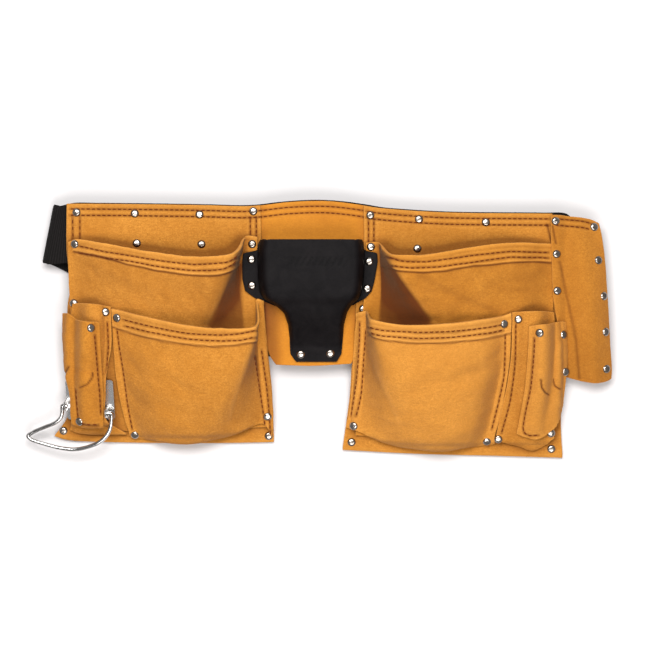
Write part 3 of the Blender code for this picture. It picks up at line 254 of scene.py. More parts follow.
RIGHT_UPPER = [
    [(366, 243, 0), (380, 243, 0), (394, 255.5, 34), (430, 254.5, 36), (470, 248, 27), (515, 243, 15), (543, 243.5, 4), (553.5, 244, 0)],
    [(366, 259, 0), (381, 260, 0), (397, 272, 35), (431, 272, 36), (470, 266, 28), (515, 261, 16), (543, 260, 4), (553.5, 260, 0)],
    [(365, 287, 0), (382, 287, 0), (408, 296, 28), (434, 299, 30), (470, 296, 24), (515, 291, 13), (543, 288, 3), (554, 288, 0)],
    [(362, 325, 0), (378, 325, 0), (424, 332, 15), (445, 335, 18), (474, 334, 16), (512, 330, 10), (541, 326, 1), (553, 326, 0)],
    [(360, 370, 0), (376, 370, 0), (424, 376, 6), (446, 378, 9), (474, 378, 9), (510, 376, 6), (541, 373, 0), (555, 373, 0)],
    [(358, 415, 0), (374, 415, 0), (424, 419, 2), (446, 420, 4), (474, 420, 4), (508, 420, 2), (539, 418, 0), (556, 418, 0)],
    [(356, 436, 0), (372, 437, 0), (424, 440, 0), (446, 440, 0), (474, 440, 0), (506, 440, 0), (537, 440, 0), (556, 440, 0)],
]
left_upper = laid_on(ground, net_surface(LEFT_UPPER, 2, 2))
right_upper = laid_on(ground, net_surface(RIGHT_UPPER, 2, 2))
second = ground.copy().add(laid_on(ground, net_surface(LEFT_UPPER, 8, 8)), LEATHER).add(laid_on(ground, net_surface(RIGHT_UPPER, 8, 8)), LEATHER)

# Wing on the right: a back layer below the webbing's level and a front layer with a tube for a long tool.
WING_BACK = panel_surface([(560, 286), (562, 310), (565, 350), (567, 376)], [(606, 288), (607.5, 310), (610, 340), (612, 379)],
                          line_of([(560, 286), (606, 288)]), line_of([(567, 376), (590, 381), (612, 379)]), 5, 6)
WING_FRONT = [
    [(551.8, 215, 0), (562, 215.5, 0), (570, 216.5, 0), (580, 217.5, 0.3), (592, 219.5, 0), (600, 223, 0)],
    [(551.8, 236, 0), (561, 236, 0), (569, 236.5, 1), (582, 237.5, 4), (595, 238, 1), (603, 238, 0)],
    [(552.6, 262, 0), (562, 262, 0), (571, 262, 2), (584, 262, 7), (597, 262, 4), (605.5, 262, 0)],
    [(554.4, 300, 0), (565, 300, 0), (576, 300, 4), (589, 300, 9.5), (600, 300, 6), (608, 300, 0)],
    [(561, 340, 0), (569, 340, 0), (580, 340, 4), (592, 340, 9.5), (603, 340, 6), (610.5, 340, 0)],
    [(563, 366, 0), (571, 367, 0), (583, 368, 4), (595, 369, 9), (605, 368, 5), (613, 368, 0)],
    [(564, 376, 0), (572, 378, 0), (584, 381, 3.5), (596, 383, 8.5), (606, 382, 5), (612.5, 379, 0)],
]


def wing_base(x, y):
    return back_z(x, y) + LEATHER + GAP


wing_front = net_surface(WING_FRONT, 2, 2)
wing_front[..., 2] += back_z(wing_front[..., 0], wing_front[..., 1]) + LEATHER * 2 + GAP * 3 - 4.4 * ease((wing_front[..., 0] - 556) / 12)
wing_back = on_back(WING_BACK, 0.6)

second.add(wing_front, LEATHER)

# Tape holder: a T of stiff black leather standing off the centre panel.
centre_relief = ground.copy().add(CENTRE_PANEL, LEATHER).add(left_upper, LEATHER).add(right_upper, LEATHER)
HOLDER_ROWS = [  # y, left edge, left wall foot, right wall foot, right edge, stand-off, 0 at a tab's height
    (240.5, 260.5, 262.0, 360.5, 362.0, 27.0), (243.0, 258.5, 261.0, 361.5, 363.5, 27.5), (250.0, 258.0, 260.5, 362.0, 364.0, 28.0),
    (253.0, 243.5, 260.0, 362.5, 376.8, 28.0), (262.0, 242.5, 260.0, 362.5, 377.4, 28.0), (279.0, 242.8, 260.5, 361.5, 374.5, 27.5), (291.0, 245.5, 262.0, 359.8, 371.5, 26.5),
    (297.5, 254.0, 265.0, 357.5, 366.0, 25.5), (303.0, 274.0, 276.0, 350.5, 352.5, 24.0), (312.0, 284.0, 286.0, 344.8, 346.8, 20.5), (325.0, 288.5, 290.5, 341.5, 343.5, 13.5),
    (338.0, 290.0, 292.0, 340.5, 342.5, 5.0), (346.0, 290.3, 292.3, 339.8, 341.8, 1.0), (354.0, 290.8, 292.8, 339.0, 341.0, 0.0), (361.5, 296.0, 298.0, 334.5, 336.5, 0.0),
]


def holder_surface(rows, walls):
    out = []
    for y, e0, w0, w1, e1, h in rows:
        xs = np.concatenate([[e0, (e0 + w0) / 2, w0], w0 + (w1 - w0) * np.array(walls), [w1, (w1 + e1) / 2, e1]])
        s = np.concatenate([[0, 0, 0], np.array(walls), [1, 1, 1]])
        round_off = np.clip(np.minimum(s, 1 - s) / 0.055, 0, 1)
        out.append(np.stack([xs, np.full_like(xs, y), h * np.sqrt(np.clip(1 - (1 - round_off) ** 2, 0, 1)) * (1 - 0.05 * (2 * s - 1) ** 2)], -1))
    return np.array(out)


holder = holder_surface(HOLDER_ROWS, [0.012, 0.055, 0.2, 0.35, 0.5, 0.65, 0.8, 0.945, 0.988])
holder_flat = centre_relief.at(holder[..., 0], holder[..., 1])
on_tabs = np.interp(holder[..., 1], [240, 292, 300, 310], [1, 1, 0.4, 0])
tab_z = TOP_Z + 2 * (LEATHER + GAP) + 0.6 + arch(np.clip(holder[..., 0], 262, 360)) * 0.0
base_z = np.maximum(holder_flat, centre_z(holder[..., 0], holder[..., 1]) + LEATHER)
edge = (holder[..., 2] < 1.0)
holder[..., 2] += np.where(holder[..., 1] < 300, np.clip(holder_flat + 0.2, tab_z, tab_z + 2.4), base_z) + GAP

# Webbing: stations of (centre, width direction), from the end sewn over the buckle's bar, round the waist, to the adjuster.
B0, BD = np.array(BUCKLE_AT), np.array(BUCKLE_DIR)
BP = np.array([-BD[1], BD[0]])  # across the strap, down the sheet
BAR_S, BAR_Z, STRAP_Z = 4.0, 5.6, 1.9


def web_front_z(x):
    return TOP_Z + arch(x) - ends(x) - LEATHER - 2 * GAP - WEB_THICK / 2


def webbing_stations():
    st = []

    def add(x, y, z, w):
        w = np.asarray(w, float)
        st.append((np.array([x, y, z]), w / np.linalg.norm(w)))

    up = -BP  # towards the waist edge on the sheet, across the strap
    across = (up[0], up[1], 0)

    def at_s(s, z):
        p = B0 + BD * s
        add(p[0], p[1], z, across)

    # the sewn end, lying on the strap, over the bar and back under it
    for s, z in ((-34, STRAP_Z + 2.7), (-24, STRAP_Z + 2.7), (-14, STRAP_Z + 3.2), (-6, STRAP_Z + 5.2), (0, BAR_Z + 3.4)):
        at_s(s, z)
    for k in range(1, 6):
        t = math.pi * k / 6
        at_s(BAR_S + 3.7 * math.sin(t), BAR_Z + 3.7 * math.cos(t))
    for s in (2, -10, -22):
        at_s(s, STRAP_Z)
    # the slack in the middle, then the straight run up to the left fold
    k0, k1, k2 = B0 - BD * 22, np.array([318.0, 344.0]), np.array([230.0, 315.4])
    for t in np.linspace(0, 1, 10)[1:]:
        p = (1 - t) ** 2 * k0 + 2 * t * (1 - t) * k1 + t * t * k2
        d = 2 * (1 - t) * (k1 - k0) + 2 * t * (k2 - k1)
        d /= np.linalg.norm(d)
        add(p[0], p[1], STRAP_Z, (-d[1], d[0], 0) if d[0] * 1 > 0 else (-d[1] * 1, d[0] * 1, 0))
    left_axis = np.array([0.19, -0.982])
    fold = np.array([53.6, 234.5])
    r = (web_front_z(66) - STRAP_Z) / 2
    run = k2 - fold
    d = (fold - k2) / np.linalg.norm(run)
    for s in (0.2, 0.4, 0.6, 0.78, 0.92):
        p = k2 + (fold - k2) * s
        w = np.array([-d[1], d[0]]) * (1 - ease(np.array((s - 0.6) / 0.4))) + -left_axis * -1 * ease(np.array((s - 0.6) / 0.4)) * -1 * -1
        add(p[0], p[1], STRAP_Z, (w[0], w[1], 0))
    e = np.array([-left_axis[1], left_axis[0]])
    for k in range(0, 9):
        t = math.pi * k / 8
        p = fold - e * (r * math.sin(t)) * 0.95
        add(p[0], p[1], STRAP_Z + r - r * math.cos(t), (left_axis[0], left_axis[1], 0))
    for x in np.linspace(74, 566, 25):
        slope = (TOP_LINE(x + 4) - TOP_LINE(x - 4)) / 8
        add(x, TOP_LINE(x) - 1.6 + WEB_WIDTH / 2, web_front_z(x), (slope * 0.6, -1, 0))
    right_axis = np.array([-0.175, -0.985])
    fold2 = np.array([582.0, 253.5])
    r2 = (web_front_z(580) - STRAP_R) / 2
    e2 = np.array([-right_axis[1], right_axis[0]])
    for k in range(0, 9):
        t = math.pi * k / 8
        p = fold2 + e2 * (r2 * math.sin(t)) * 0.95
        add(p[0], p[1], STRAP_R + r2 + r2 * math.cos(t), (right_axis[0], right_axis[1], 0))
    end = B0 + BD * 172
    for s in (0.3, 0.65):
        p = fold2 + (end - fold2) * s
        w = right_axis * (1 - s) + up * s
        add(p[0], p[1], STRAP_R, (w[0], w[1], 0))
    for s in (172, 150, 129):
        at_s(s, STRAP_R)
    # every width direction points to the waist edge
    return [(c, w if w[1] < 0 else -w) for c, w in st]


STATIONS = webbing_stations()

# Lower pockets and side pockets lie on the upper ones.
LEFT_LOWER = [
    [(113, 309, 0), (122, 310.5, 1.0), (148, 317, 11), (188, 325, 21), (224, 328.5, 29), (255.5, 325.5, 30), (256, 301, 0), (262.3, 301, 0)],
    [(113.5, 327, 0), (123, 328, 1.0), (149, 334, 12), (188, 341, 23), (224, 345.5, 31), (252.5, 341, 30), (256, 319, 0), (263.0, 319, 0)],
    [(115, 362, 0), (125, 363, 1.0), (152, 367, 19), (188, 371, 30), (222, 375, 35), (244, 370, 28), (257, 352, 0), (265.2, 352, 0)],
    [(118, 392, 0), (128, 393, 1.0), (155, 397, 22), (188, 400, 32), (218, 401, 33), (238, 394, 22), (260, 384, 0), (268.5, 384, 0)],
    [(123, 417, 0), (133, 419, 0.8), (158, 424, 20), (188, 427, 27), (214, 425, 25), (236, 415, 13), (262, 404, 0), (270.5, 404, 0)],
    [(127, 431, 0), (137, 434, 0.5), (164, 441, 13), (190, 442.5, 16), (214, 438, 13), (238, 430.5, 6), (263, 414, 0), (271.5, 413, 0)],
    [(129, 438, 0), (139, 439, 0), (165, 439, 0), (190, 439, 0), (214, 436, 0), (238, 431, 0), (262, 424, 0), (271, 438, 0)],
]
RIGHT_LOWER = [
    [(357, 314, 0), (367, 311.5, 0), (374, 320, 29), (404, 325, 30), (445, 323.5, 22), (482, 319, 11), (501, 316, 1.0), (510, 313.0, 0)],
    [(356, 332, 0), (367, 331, 0), (377, 338, 32), (405, 344, 32), (445, 343, 24), (482, 337, 13), (501, 333, 1.0), (510, 331, 0)],
    [(353.5, 362, 0), (366, 362, 0), (384, 370, 32), (408, 374, 36), (445, 373, 31), (480, 368, 19), (499, 364, 1.0), (509, 362, 0)],
    [(352, 392, 0), (364, 393, 0), (388, 402, 25), (412, 406, 34), (445, 406, 33), (475, 401, 23), (494, 396, 1.0), (505, 394, 0)],
    [(349.5, 415, 0), (362, 417, 0), (386, 428, 13), (412, 434, 24), (442, 437, 27), (470, 430, 20), (488, 424, 1.0), (500, 421, 0)],
    [(347.5, 422, 0), (360, 427, 0), (386, 441, 6), (412, 447, 12), (442, 450, 16), (466, 445.5, 12), (484, 440, 0.6), (496, 436, 0)],
    [(346.5, 428, 0), (359, 432, 0), (386, 442, 0), (412, 447, 0), (442, 448, 0), (466, 447, 0), (484, 446, 0), (496, 444, 0)],
]
left_lower = laid_on(second, net_surface(LEFT_LOWER, 2, 2), 1.0)
right_lower = laid_on(second, net_surface(RIGHT_LOWER, 2, 2), 1.0)

SIDE_L = [
    [(73, 304, 0), (80, 303.6, 2.0), (90, 304, 6.5), (99, 305, 5.0), (104, 306, 0.5), (111, 307, 0)],
    [(70, 322, 0), (79, 322, 2.0), (90, 322, 7.0), (99, 322, 5.0), (104.5, 323, 0.5), (111.3, 324, 0)],
    [(68, 345, 0), (78, 345, 2.0), (89, 345, 6.5), (99, 345, 5.0), (104.5, 346, 0.4), (111.3, 346, 0)],
    [(68, 372, 0), (77, 372, 1.5), (88, 372, 5.5), (97, 372, 4.0), (101.5, 372, 0.3), (106, 372, 0)],
    [(70, 396, 0), (78, 396, 1.0), (88, 396, 4.5), (97, 396, 3.0), (101, 396, 0.3), (104.6, 396, 0)],
    [(70, 418, 0), (79, 419, 0.5), (89, 420, 3.0), (97, 420, 2.0), (101, 420, 0.2), (104.8, 420, 0)],
    [(68, 431, 0), (79, 433, 0), (92, 434, 0.5), (104, 434, 0.4), (114, 434, 0), (124, 434, 0)],
]
SIDE_R = [
    [(512, 312.5, 0), (519, 312, 0.5), (528, 311.5, 5.0), (538, 311.5, 6.5), (547, 312, 2.0), (553, 312.5, 0)],
    [(512, 328, 0), (519, 328, 0.5), (528, 328, 5.0), (538, 328, 7.0), (548, 328, 2.0), (555, 328, 0)],
    [(511.5, 352, 0), (518.5, 352, 0.4), (528, 352, 5.0), (539, 352, 6.5), (549, 352, 2.0), (557, 352, 0)],
    [(508, 384, 0), (516, 384, 0.3), (527, 384, 4.5), (539, 384, 6.0), (550, 384, 1.5), (558, 384, 0)],
    [(502.5, 412, 0), (512, 413, 0.3), (525, 414, 4.0), (538, 414, 5.0), (549, 414, 1.5), (557, 414, 0)],
    [(498.5, 434, 0), (508, 436, 0.2), (522, 440, 2.5), (535, 444, 3.0), (545, 440, 1.0), (556, 431, 0)],
    [(498, 441, 0), (508, 443, 0), (522, 447, 0.5), (534, 451, 0.6), (545, 447, 0), (556, 439, 0)],
]

# Hammer bracket: a steel channel on the left pouch, its flanges standing up past both sides of the side pocket.
PLATE_X, PLATE_Y = (64.4, 113.4), (379.0, 421.0)
gx, gy = np.meshgrid(np.linspace(PLATE_X[0], PLATE_X[1], 24), np.linspace(PLATE_Y[0], PLATE_Y[1], 20))
gz = second.at(gx, gy)
A = np.stack([gx.ravel(), gy.ravel(), np.ones(gx.size)], 1)
plane = np.linalg.lstsq(A, gz.ravel(), rcond=None)[0]
lift = float((gz - (plane[0] * gx + plane[1] * gy + plane[2])).max()) + 0.5
PX, PY = sum(PLATE_X) / 2, sum(PLATE_Y) / 2
plate_origin = to_m(np.array([PX, PY, plane[0] * PX + plane[1] * PY + plane[2] + lift]))
ex = Vector((1, 0, plane[0])).normalized()
ez = ex.cross(Vector((0, 1, -plane[1]))).normalized()
ey = ez.cross(ex).normalized()
PLATE = Matrix(((ex.x, ey.x, ez.x, plate_origin[0]), (ex.y, ey.y, ez.y, plate_origin[1]), (ex.z, ey.z, ez.z, plate_origin[2]), (0, 0, 0, 1)))
PLATE_T, FLANGE_H, PIVOT_H = 1.4, 18.0, 12.5
HALF_W = (PLATE_X[1] - PLATE_X[0]) / 2

third = second.copy()
plate_grid = np.stack([gx, gy, plane[0] * gx + plane[1] * gy + plane[2] + lift], -1)
third.add(plate_grid, PLATE_T + 1.2)
left_side = laid_on(third, net_surface(SIDE_L, 2, 2) * SLACK)
right_side = laid_on(third, net_surface(SIDE_R, 2, 2) * SLACK)
fourth = third.copy().add(laid_on(third, net_surface(SIDE_L, 8, 8) * SLACK), LEATHER).add(laid_on(third, net_surface(SIDE_R, 8, 8) * SLACK), LEATHER)

SLEEVE_L = [
    [(63.0, 313.5, 0.5), (69.5, 314.5, 1.0), (77, 319.5, 0.5), (83, 321, 4.5), (90, 322, 4.5), (96, 322, 1.0), (99.5, 322.5, 0)],
    [(63.0, 331, 0.5), (69.5, 333, 1.2), (76.5, 336, 0.6), (83, 337, 5.0), (90, 337, 5.0), (96.5, 337, 1.0), (100, 337, 0)],
    [(64.0, 352, 0.5), (69.5, 353, 1.2), (76, 354, 0.6), (83, 354, 5.0), (90, 354, 4.8), (97, 354, 1.0), (100.5, 354, 0)],
    [(65.5, 373, 0.5), (70, 374.5, 1.2), (75.5, 376, 0.5), (82, 376, 4.0), (90, 376, 4.0), (97, 376, 0.8), (101, 376, 0)],
    [(70, 396, 0.3), (73, 396, 0.8), (76, 396, 0.2), (83, 396, 3.0), (91, 396, 3.0), (98, 396, 0.6), (102, 396, 0)],
    [(70, 414, 0.2), (74, 415, 0.5), (77.5, 416, 0.1), (84, 417, 2.0), (91, 417, 2.0), (97.5, 417, 0.4), (101.2, 417, 0)],
    [(71, 424, 0), (75, 425, 0), (79, 426, 0), (85, 427, 0.3), (92, 427, 0.3), (98.5, 427, 0), (101.8, 427, 0)],
]
SLEEVE_R = [
    [(529, 326.5, 0), (533, 326, 1.0), (540, 325, 4.5), (547, 324.5, 4.5), (554, 323, 0.5), (561, 322, 2.0), (567, 322.5, 0.5)],
    [(528.5, 345, 0), (532.5, 345, 1.0), (540, 344, 5.0), (547, 344, 5.0), (554, 343, 0.6), (561, 342, 2.5), (567, 341, 0.5)],
    [(527.5, 366, 0), (531.5, 366, 1.0), (539, 366, 4.8), (546, 366, 4.8), (553, 365, 0.6), (560.5, 364, 2.5), (567, 363, 0.5)],
    [(526, 387, 0), (530, 387, 0.8), (537, 387, 4.0), (544, 387, 4.0), (551, 386, 0.5), (559, 385, 2.0), (566, 385, 0.4)],
    [(523.5, 405, 0), (527.5, 405, 0.6), (534, 406, 3.0), (541, 406, 3.0), (548, 405, 0.3), (556, 404, 1.2), (564, 403, 0.3)],
    [(520.5, 423, 0), (524.5, 424, 0.4), (531, 425, 2.0), (538, 426, 2.0), (545, 425, 0.2), (552, 422, 0.8), (560, 419, 0.2)],
    [(518.5, 434, 0), (523, 436, 0), (530, 438, 0.3), (537, 439.5, 0.3), (544, 437, 0), (551, 432, 0.2), (557, 427, 0)],
]
left_sleeve = laid_on(fourth, net_surface(SLEEVE_L, 2, 2) * SLACK)
right_sleeve = laid_on(fourth, net_surface(SLEEVE_R, 2, 2) * SLACK)



# ----------------------------------------------------------------- materials
def node_tree(name):
    m = bpy.data.materials.new(name)
    m.use_nodes = True
    t = m.node_tree
    return m, t, t.nodes["Principled BSDF"]


def add(t, kind, **values):
    n = t.nodes.new(kind)
    for k, v in values.items():
        if hasattr(n, k):
            setattr(n, k, v)
        else:
            n.inputs[k.replace("_", " ")].default_value = v
    return n


def noise(t, where, scale, detail=3.0, rough=0.55, distortion=0.0):
    n = t.nodes.new("ShaderNodeTexNoise")
    n.inputs["Scale"].default_value = scale
    n.inputs["Detail"].default_value = detail
    n.inputs["Roughness"].default_value = rough
    n.inputs["Distortion"].default_value = distortion
    t.links.new(where, n.inputs["Vector"])
    return n.outputs["Fac"]


def ramp(t, fac, stops):
    n = t.nodes.new("ShaderNodeValToRGB")
    while len(n.color_ramp.elements) < len(stops):
        n.color_ramp.elements.new(0.5)
    for e, (p, c) in zip(n.color_ramp.elements, stops):
        e.position = p
        e.color = (*c, 1) if len(c) == 3 else c
    t.links.new(fac, n.inputs["Fac"])
    return n.outputs["Color"]


def mix(t, fac, a, b, kind="MIX"):
    n = t.nodes.new("ShaderNodeMix")
    n.data_type = "RGBA"
    n.blend_type = kind
    for sock, v in ((n.inputs["Factor"], fac), (n.inputs["A"], a), (n.inputs["B"], b)):
        if isinstance(v, (int, float)):
            sock.default_value = v
        elif isinstance(v, tuple):
            sock.default_value = (*v, 1)
        else:
            t.links.new(v, sock)
    return n.outputs["Result"]


def maths(t, op, a, b=0.0):
    n = t.nodes.new("ShaderNodeMath")
    n.operation = op
    for sock, v in ((n.inputs[0], a), (n.inputs[1], b)):
        if isinstance(v, (int, float)):
            sock.default_value = v
        else:
            t.links.new(v, sock)
    return n.outputs[0]


def bump(t, bsdf, heights):
    """heights: (socket, distance in metres, strength), finest last."""
    prev = None
    for h, dist, strength in heights:
        n = t.nodes.new("ShaderNodeBump")
        n.inputs["Distance"].default_value = dist
        n.inputs["Strength"].default_value = strength
        t.links.new(h, n.inputs["Height"])
        if prev:
            t.links.new(prev, n.inputs["Normal"])
        prev = n.outputs["Normal"]
    t.links.new(prev, bsdf.inputs["Normal"])


def leather(name, dark, base, light, grain=1.0, sheen=0.10, rough=0.88):
    m, t, b = node_tree(name)
    where = t.nodes.new("ShaderNodeTexCoord").outputs["Object"]
    broad = noise(t, where, 22, 3, 0.6, 0.4)
    blotch = noise(t, where, 75, 4, 0.65, 0.8)
    nap = noise(t, where, 480, 4, 0.75, 0.6)
    fibre = noise(t, where, 1250, 3, 0.7)
    brush = t.nodes.new("ShaderNodeMapping")
    brush.inputs["Scale"].default_value = (0.45, 1.5, 1.0)
    t.links.new(where, brush.inputs["Vector"])
    streak = noise(t, brush.outputs["Vector"], 520, 3, 0.65, 0.3)
    c = mix(t, ramp(t, broad, [(0.30, (0, 0, 0)), (0.70, (1, 1, 1))]), dark, light)
    c = mix(t, 0.55, c, base)
    c = mix(t, maths(t, "MULTIPLY", ramp(t, blotch, [(0.38, (0, 0, 0)), (0.72, (1, 1, 1))]), 0.34), c, light)
    c = mix(t, maths(t, "MULTIPLY", ramp(t, nap, [(0.36, (1, 1, 1)), (0.56, (0, 0, 0))]), 0.42 * grain), c, dark)
    c = mix(t, maths(t, "MULTIPLY", ramp(t, streak, [(0.36, (1, 1, 1)), (0.60, (0, 0, 0))]), 0.34 * grain), c, dark)
    c = mix(t, maths(t, "MULTIPLY", ramp(t, fibre, [(0.40, (1, 1, 1)), (0.56, (0, 0, 0))]), 0.34 * grain), c, tuple(v * 0.8 for v in dark))
    # the tone attribute: red deepens the colour (painted shade in hollows, creases, under hems and on steep flanks,
    # besides the stitch grooves and the wing's deeper tone), green lightens it (cut and worn edges, and painted light
    # on crests and on the right lower pocket)
    tone = t.nodes.new("ShaderNodeAttribute")
    tone.attribute_name = "tone"
    sep = t.nodes.new("ShaderNodeSeparateColor")
    t.links.new(tone.outputs["Color"], sep.inputs["Color"])
    c = mix(t, maths(t, "MULTIPLY", sep.outputs["Green"], 0.8), c, tuple(min(1, v * 1.06 + 0.015) for v in light))
    c = mix(t, sep.outputs["Red"], c, (dark[0] * 0.30, dark[1] * 0.20, dark[2] * 0.15))
    t.links.new(c, b.inputs["Base Color"])
    b.inputs["Roughness"].default_value = rough
    b.inputs["Specular IOR Level"].default_value = 0.22
    b.inputs["Sheen Weight"].default_value = sheen
    b.inputs["Sheen Roughness"].default_value = 0.5
    b.inputs["Sheen Tint"].default_value = (1.0, 0.78, 0.5, 1)
    bump(t, b, [(blotch, 0.0012, 0.25), (nap, 0.0007, 0.5 * grain), (streak, 0.0006, 0.4 * grain), (fibre, 0.0004, 0.6 * grain)])
    return m


SUEDE = leather("suede", (0.40, 0.142, 0.013), (0.60, 0.238, 0.029), (0.73, 0.318, 0.050), 1.45)
# a darker copy of the suede: painted shade on the pieces that wear it
SUEDE_SHADED = leather("suede_shaded", (0.37, 0.128, 0.010), (0.565, 0.212, 0.020), (0.67, 0.278, 0.034), 1.3)
SMOOTH = leather("smooth_leather", (0.45, 0.150, 0.007), (0.60, 0.215, 0.010), (0.68, 0.262, 0.017), 0.8, 0.04, 0.7)


def black_leather():
    m, t, b = node_tree("black_leather")
    where = t.nodes.new("ShaderNodeTexCoord").outputs["Object"]
    v = t.nodes.new("ShaderNodeTexVoronoi")
    v.feature = "DISTANCE_TO_EDGE"
    v.inputs["Scale"].default_value = 900
    t.links.new(where, v.inputs["Vector"])
    cells = ramp(t, v.outputs["Distance"], [(0.0, (0, 0, 0)), (0.16, (1, 1, 1))])
    broad = noise(t, where, 60, 4, 0.6, 0.8)
    fine = noise(t, where, 700, 3, 0.6)
    c = mix(t, ramp(t, broad, [(0.35, (0, 0, 0)), (0.7, (1, 1, 1))]), (0.0035, 0.0026, 0.0030), (0.0075, 0.0060, 0.0064))
    tone = t.nodes.new("ShaderNodeAttribute")
    tone.attribute_name = "tone"
    sep = t.nodes.new("ShaderNodeSeparateColor")
    t.links.new(tone.outputs["Color"], sep.inputs["Color"])
    c = mix(t, sep.outputs["Green"], c, (0.022, 0.019, 0.018))
    c = mix(t, sep.outputs["Red"], c, (0.002, 0.002, 0.002))
    t.links.new(c, b.inputs["Base Color"])
    r = maths(t, "MULTIPLY_ADD", fine, 0.22)
    r.node.inputs[2].default_value = 0.46
    t.links.new(r, b.inputs["Roughness"])
    b.inputs["Specular IOR Level"].default_value = 0.08
    bump(t, b, [(broad, 0.0015, 0.25), (cells, 0.00016, 0.35), (fine, 0.00025, 0.3)])
    return m


def webbing(name="webbing"):
    m, t, b = node_tree(name)
    uv = t.nodes.new("ShaderNodeUVMap").outputs["UV"]
    sep = t.nodes.new("ShaderNodeSeparateXYZ")
    t.links.new(uv, sep.inputs[0])
    # UV in millimetres: u across the strap, v along it
    warp = maths(t, "ABSOLUTE", maths(t, "SINE", maths(t, "MULTIPLY", sep.outputs["X"], math.pi / 1.25)))
    weft = maths(t, "ABSOLUTE", maths(t, "SINE", maths(t, "MULTIPLY", sep.outputs["Y"], math.pi / 2.2)))
    where = t.nodes.new("ShaderNodeTexCoord").outputs["Object"]
    fuzz = noise(t, where, 1500, 3, 0.6)
    weave = maths(t, "MULTIPLY", warp, weft)
    c = mix(t, weave, (0.0025, 0.0020, 0.0020), (0.0135, 0.0115, 0.0112))
    c = mix(t, maths(t, "MULTIPLY", fuzz, 0.2), c, (0.022, 0.018, 0.016))
    t.links.new(c, b.inputs["Base Color"])
    b.inputs["Roughness"].default_value = 0.75
    b.inputs["Specular IOR Level"].default_value = 0.10
    bump(t, b, [(weft, 0.0005, 0.5), (warp, 0.00035, 0.6), (fuzz, 0.0002, 0.4)])
    return m


def plastic():
    m, t, b = node_tree("black_plastic")
    where = t.nodes.new("ShaderNodeTexCoord").outputs["Object"]
    fine = noise(t, where, 1800, 2, 0.6)
    broad = noise(t, where, 90, 3, 0.5)
    c = mix(t, broad, (0.012, 0.012, 0.013), (0.020, 0.020, 0.022))
    t.links.new(c, b.inputs["Base Color"])
    r = maths(t, "MULTIPLY_ADD", fine, 0.2)
    r.node.inputs[2].default_value = 0.34
    t.links.new(r, b.inputs["Roughness"])
    bump(t, b, [(fine, 0.00012, 0.3)])
    return m


def metal(name, dark, base, rough, wear=0.2, brushed=0.0):
    m, t, b = node_tree(name)
    where = t.nodes.new("ShaderNodeTexCoord").outputs["Object"]
    broad = noise(t, where, 160, 4, 0.6, 0.6)
    fine = noise(t, where, 2200, 3, 0.6)
    c = mix(t, ramp(t, broad, [(0.35, (0, 0, 0)), (0.75, (1, 1, 1))]), base, dark)
    t.links.new(c, b.inputs["Base Color"])
    b.inputs["Metallic"].default_value = 1.0
    r = maths(t, "MULTIPLY_ADD", broad, wear)
    r.node.inputs[2].default_value = rough
    t.links.new(r, b.inputs["Roughness"])
    bump(t, b, [(broad, 0.0004, 0.12), (fine, 0.00006, 0.2)])
    return m


BLACK = black_leather()
WEB = webbing()
PLASTIC = plastic()
CHROME = metal("chrome_wire", (0.38, 0.36, 0.34), (0.70, 0.69, 0.68), 0.07, 0.10)
PLATE_STEEL = metal("plate_steel", (0.42, 0.41, 0.39), (0.72, 0.71, 0.70), 0.16, 0.2)
NICKEL = metal("nickel_caps", (0.18, 0.145, 0.115), (0.40, 0.36, 0.325), 0.12, 0.20)


def thread_material():
    m, t, b = node_tree("thread")
    where = t.nodes.new("ShaderNodeTexCoord").outputs["Object"]
    fine = noise(t, where, 2600, 2, 0.6)
    broad = noise(t, where, 120, 2, 0.5)
    c = mix(t, broad, (0.085, 0.016, 0.004), (0.16, 0.034, 0.008))
    c = mix(t, maths(t, "MULTIPLY", fine, 0.25), c, (0.24, 0.065, 0.018))
    t.links.new(c, b.inputs["Base Color"])
    b.inputs["Roughness"].default_value = 0.85
    b.inputs["Specular IOR Level"].default_value = 0.08
    bump(t, b, [(fine, 0.0002, 0.6)])
    return m


THREAD = thread_material()


# ----------------------------------------------------------------- fine surfaces
def lattice_noise(x, y, size, seed, stretch=(1.0, 1.0), turn=0.0):
    """Smooth noise of -1 to 1 with lumps of about size mm, stretched and turned."""
    c, s = math.cos(turn), math.sin(turn)
    a, b = (x * c + y * s) / (size * stretch[0]), (-x * s + y * c) / (size * stretch[1])
    rng = np.random.RandomState(seed)
    table = rng.uniform(-1, 1, (97, 97))
    i, j = np.floor(a).astype(int), np.floor(b).astype(int)
    f, g = a - i, b - j
    f, g = f * f * f * (f * (f * 6 - 15) + 10), g * g * g * (g * (g * 6 - 15) + 10)
    t = lambda p, q: table[p % 97, q % 97]
    return (t(i, j) * (1 - f) + t(i + 1, j) * f) * (1 - g) + (t(i, j + 1) * (1 - f) + t(i + 1, j + 1) * f) * g


def grid_normals(s):
    du, dv = np.gradient(s, axis=1), np.gradient(s, axis=0)
    n = np.cross(du, dv)
    return n / np.maximum(np.linalg.norm(n, axis=-1, keepdims=True), 1e-9)


def blurred(a, times):
    for _ in range(times):
        p = np.pad(a, ((1, 1), (1, 1)) + ((0, 0),) * (a.ndim - 2), mode="edge")
        a = (p[:-2, 1:-1] + p[2:, 1:-1] + p[1:-1, :-2] + p[1:-1, 2:] + 4 * p[1:-1, 1:-1]) / 8
    return a


def near(x, y, line):
    """Distance from each (x, y) to a polyline."""
    p = np.asarray(line, float)
    best = np.full(np.shape(x), 1e9)
    for a, b in zip(p[:-1], p[1:]):
        d = b - a
        t = np.clip(((x - a[0]) * d[0] + (y - a[1]) * d[1]) / max(d @ d, 1e-9), 0, 1)
        best = np.minimum(best, np.hypot(x - a[0] - t * d[0], y - a[1] - t * d[1]))
    return best


